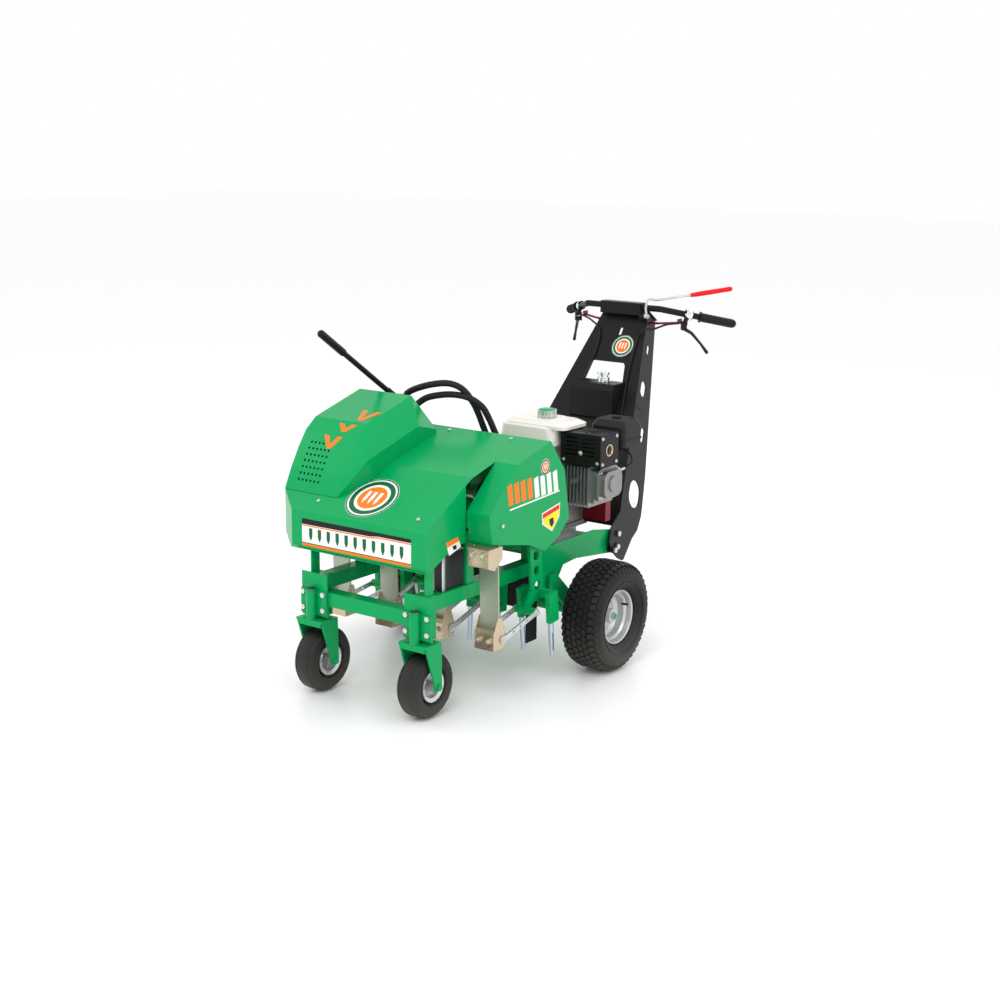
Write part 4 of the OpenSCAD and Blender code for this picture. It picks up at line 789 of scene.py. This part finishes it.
def makeEngageLever():
    spec = engageLever
    route = [at(x, barY + y, barZ + z) for x, y, z in leverRoute]
    bend = [route[0], route[1] - Vector((0, 0, 0.012)), route[1] + Vector((0.004, 0.004, 0.003)),
            route[2], route[2].lerp(route[3], 0.5), route[3], route[3].lerp(route[4], 0.1)]
    wire = tube("engageRod", bend, spec["rod"], smooth=6, sides=16)
    boss = rod("engageBoss", route[0] - Vector((0.0055, 0, 0)), route[0] + Vector((0.007, 0, 0)), 0.010)
    nut = hexHead("engageNut", route[0] + Vector((0.007, 0, 0)), (1, 0, 0), 0.013, 0.006)
    lever = done(join("engageLever", [wire, boss, nut]), "engage_lever", "zincPlate")
    grip = lathe("engageGrip", spec["profile"], route[3], route[4] - route[3], 32)
    ribs = [ring("gripRib", route[3] + (route[4] - route[3]).normalized() * (0.05 + 0.012 * k),
                 route[4] - route[3],
                 0.0086 - 0.0002 * k, 0.0007, 28, 6) for k in range(7)]
    done(join("engageGrip", [grip] + ribs), "engage_lever", "redGrip")
    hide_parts("engage_lever")


# rubber grips with ridges and bright lever clamps
gripSpec = {"end": (400, barY + 212, barZ - 62), "radius": 0.0174, "clamp": 0.0189}


def makeGrips():
    for side in (-1, 1):
        end = at(side * gripSpec["end"][0], gripSpec["end"][1], gripSpec["end"][2])
        start = at(side * 170, barY, barZ)
        along = (end - start).normalized()
        r = gripSpec["radius"]
        begin = end - along * 0.150
        sleeve = rod("gripSleeve", begin, end - along * r, r, edge=0.0015)
        ribs = [ring("gripRidge", begin + along * (0.012 + 0.0105 * k), along, r + 0.0001, 0.0013, 32,
                     6) for k in range(12)]
        done(join("gripSleeve" + ("Left" if side > 0 else "Right"), [sleeve] + ribs), "frame",
             "softRubber")
        clamp = start + along * 0.120
        band = rod("leverClamp", clamp - along * 0.013, clamp + along * 0.013, gripSpec["clamp"],
                   edge=0.0012)
        screw = hexHead("clampScrew", clamp + Vector((0, -gripSpec["clamp"] + 0.001, 0.002)), (0, -1, 0.1),
                        0.008, 0.005, 0.006)
        done(join("leverClamp" + ("Left" if side > 0 else "Right"), [band, screw]), "frame",
             "chromePlate")


makeEngageLever()
makeGrips()
print("levers and grips made")


# engine details, caps and hose fittings
engineTrim = {"plugAt": (352, 186, 694), "plugTo": (366, 232, 706),
              "lead": [(366, 236, 708), (372, 262, 722), (352, 270, 752),
              (318, 262, 764), (288, 240, 752)], "guardFace": 394.1, "outlet": (65, 798)}


def makeEngineTrim():
    spec = engineTrim
    a, b = at(*spec["plugAt"]), at(*spec["plugTo"])
    along = (b - a).normalized()
    parts = [rod("sparkPlug", a, a + along * 0.018, 0.0085, sides=6),
             rod("plugNeck", a + along * 0.018, b, 0.0055),
             rod("plugTip", b, b + along * 0.008, 0.0035)]
    done(join("sparkPlug", parts), "frame", "yellowZinc")
    lead = tube("plugLead", [at(*p) for p in spec["lead"]], 0.0035, 8, 12)
    boot = rod("plugBoot", at(*spec["lead"][0]) - along * 0.014, at(*spec["lead"][0]) + along * 0.006,
               0.0075, edge=0.002)
    done(join("plugLead", [lead, boot]), "frame", "softRubber")
    y, z = spec["outlet"]
    face = at(spec["guardFace"], y, z)
    rim = ring("outletRim", face, (1, 0, 0), 0.0205, 0.0022, 48)
    throat = lathe("outletThroat", [(0.0175, -0.028), (0.0195, -0.028), (0.0195, 0.0), (0.0175, 0.0),
                                    (0.0175, -0.028)],
                   face, (1, 0, 0), 48)
    done(join("silencerOutlet", [rim, throat]), "frame", "yellowZinc")
    # screws on the silencer's guard and the valve cover
    screws = []
    for y, z in ((18, 752), (112, 752), (18, 846), (112, 846)):
        screws.append(hexHead("guardScrew", at(394, y, z), (1, 0, 0), 0.008, 0.004, 0.0065))
    for x in (236, 380):
        screws.append(hexHead("guardScrew", at(x, 5, 756), (0, -1, 0), 0.008, 0.004, 0.0065))
    screws.append(hexHead("guardScrew", at(308, 5, 786), (0, -1, 0), 0.010, 0.005, 0.009))
    for s in (-1, 1):
        for u in (-1, 1):
            screws.append(hexHead("coverScrew", at(366.4, 108 + u * 58, 666 + s * 46), (1, 0, 0), 0.010,
                                  0.007, 0.007))
    done(join("engineScrews", screws), "frame", "zincPlate")


def makeCaps():
    low, high = (Vector(v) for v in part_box("fuel_cap"))
    middle = (low + high) / 2
    top = Vector((middle.x, middle.y, high.z))
    crown = lathe("fuelCapCrown", [(0, -0.0004), (0.0305, -0.0004), (0.0305, 0.0008), (0.029, 0.0026),
                                   (0.021, 0.0042), (0, 0.0046)],
                  top, (0, 0, 1), 64)
    done(crown, "fuel_cap", "greenPaint", 50)
    low, high = (Vector(v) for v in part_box("oil_cap"))
    middle = (low + high) / 2
    bands = [ring("oilCapBand", Vector((middle.x, middle.y, low.z + h)), (0, 0, 1), r, 0.0012, 48, 8)
             for h, r in ((0.003, 0.0258), (0.017, 0.0258), (0.0335, 0.0248))]
    done(join("oilCapBands", bands), "oil_cap", "chromePlate", 50)


def makeHoseEnds():
    collars = []
    for x in (38, 84):
        foot = at(x, -80, 676)
        collars.append(lathe("hoseEnd", [(0.0125, 0.0), (0.0150, 0.0), (0.0150, 0.012), (0.0142, 0.014),
                                         (0.0142, 0.034), (0.0134, 0.036),
                                         (0.0125, 0.036), (0.0125, 0.0)], foot + Vector((0, 0, 0.001)),
                                         (0, 0, 1), 32))
    done(join("hoseEnds", collars), "frame", "yellowZinc", 40)


def makeHubs():
    for side in ("left", "right"):
        spin = Vector(joints["rear_" + side + "_spin"]["pos_m"])
        sign = 1 if side == "left" else -1
        low, high = (Vector(v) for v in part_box("wheel_carrier"))
        end = high.x if sign > 0 else low.x
        tip = Vector((end, spin.y, spin.z))
        washer = disc("axleWasher", tip - Vector((sign * 0.012, 0, 0)), (sign, 0, 0), 0.0112, 0.019, 0.0025)
        nut = hexHead("axleNut", tip - Vector((sign * 0.0095, 0, 0)), (sign, 0, 0), 0.026, 0.0075)
        done(join("axleEnd_" + side, [washer, nut]), "wheel_carrier", "zincPlate")
        # valve stem on the rim
        low, high = (Vector(v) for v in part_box("rear_rim_" + side))
        face = (high.x if sign > 0 else low.x) - sign * 0.030
        spot = Vector((face, spin.y + 0.066, spin.z + 0.030))
        stem = rod("valveStem", spot, spot + Vector((sign * 0.026, 0.002, 0.001)), 0.0042, edge=0.001)
        done(stem, "rear_wheel_" + side, "softRubber")
        swivel = Vector(joints["caster_" + side + "_swivel"]["pos_m"])
        low, high = (Vector(v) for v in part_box("caster_fork_" + side))
        cap = Vector((swivel.x, swivel.y, high.z))
        parts = [rod("swivelCap", cap, cap + Vector((0, 0, 0.002)), 0.0165, edge=0.0006),
                 rod("swivelPin", cap, cap + Vector((0, 0, 0.004)), 0.007, edge=0.001)]
        done(join("swivelCap_" + side, parts), "caster_fork_" + side, "darkSteel")


strips = {"x": (330, 110, -110, -330), "pivot": (-556, 236), "boss": (-69, -365), "throw": 26,
          "crank": (-302, 655),
          "phase": (180, 0, 90, 270), "link": 203.7}


def bossSpot(index):
    # where a rocker link meets its tine arm, at rest
    spec = strips
    turn = math.radians(spec["phase"][index])
    pin = Vector((spec["crank"][0] + spec["throw"] * math.cos(turn),
                  spec["crank"][1] + spec["throw"] * math.sin(turn)))
    reach = math.hypot(*spec["boss"])
    gap = Vector(spec["pivot"]) - pin
    far = gap.length
    unit = gap / far
    along = (reach ** 2 - spec["link"] ** 2 + far ** 2) / (2 * far)
    off = math.sqrt(reach ** 2 - along ** 2)
    return pin + unit * along + Vector((-unit.y, unit.x)) * off


def makeLinkBolts():
    spec = strips
    for k, x in enumerate(spec["x"]):
        nuts = []
        boss = bossSpot(k)
        for sign in (-1, 1):
            for y, z in (spec["pivot"], (boss.x, boss.y)):
                nuts.append(hexHead("linkNut", at(x + sign * 50.9, y, z), (sign, 0, 0), 0.013,
                                    0.0032 if y != spec["pivot"][0] else 0.005))
        done(join(f"linkNuts{k + 1}", nuts), f"link_{k + 1}", "zincPlate")
    first = hexHead("stripBolt", at(0, -614, 238), (0, -1, 0), 0.013, 0.006)
    upper = hexHead("stripBolt", at(0, -654, 545), (0, -1, 0), 0.014, 0.006)
    bolts = []
    for x in spec["x"]:
        for dx in (-21, 21):
            bolts.append(copyMoved(first, ((x + dx) * mm, 0, 0)))
            bolts.append(copyMoved(upper, ((x + dx) * mm, 0, 0)))
    bpy.data.objects.remove(first)
    bpy.data.objects.remove(upper)
    done(join("stripBolts", bolts), "frame", "zincPlate")


ballast = {"low": (207, -724, 419), "high": (241, -606, 548), "strapX": 241.2, "strapThick": 0.0025,
           "strap": ((-726, 419), (-710, 419), (-710, 556), (-726, 556)),
           "lipLow": (205, -727, 548.2), "lipHigh": (243.8, -606, 551)}


def makeBallast():
    spec = ballast
    plateBlock = block("ballastPlate", at(*spec["low"]), at(*spec["high"]), 0.002)
    done(plateBlock, "frame", "castGrey")
    strap = plate("ballastStrap", [at(spec["strapX"], y, z) for y, z in spec["strap"]],
                  (spec["strapThick"], 0, 0), 0.0004)
    lip = block("ballastLip", at(*spec["lipLow"]), at(*spec["lipHigh"]), 0.0006)
    done(join("ballastStrap", [strap, lip]), "frame", "zincPlate")


def makeSeams():
    # two hems along the foot of the hood, and weld beads where brackets meet their posts
    hem = [rod("hem", at(-300, -845.5, 521), at(264, -845.5, 521), 0.0028, edge=0),
           rod("hem", at(-300, -840, 512.5), at(264, -840, 512.5), 0.0026, edge=0)]
    done(join("hoodHem", hem), "frame", "greenPaint")
    beads = []
    for x in (228, -228):
        for dx in (-18.6, 18.6):
            beads.append(tube("weldBead", [at(x + dx * 0.62, -844.6, z) for z in (290, 310, 330, 350, 366)],
                              0.0022, 4, 8))
    done(join("bracketWelds", beads), "frame", "greenPaint")


makeEngineTrim()
makeCaps()
makeHoseEnds()
makeHubs()
makeLinkBolts()
makeBallast()
makeSeams()
print("trim made")
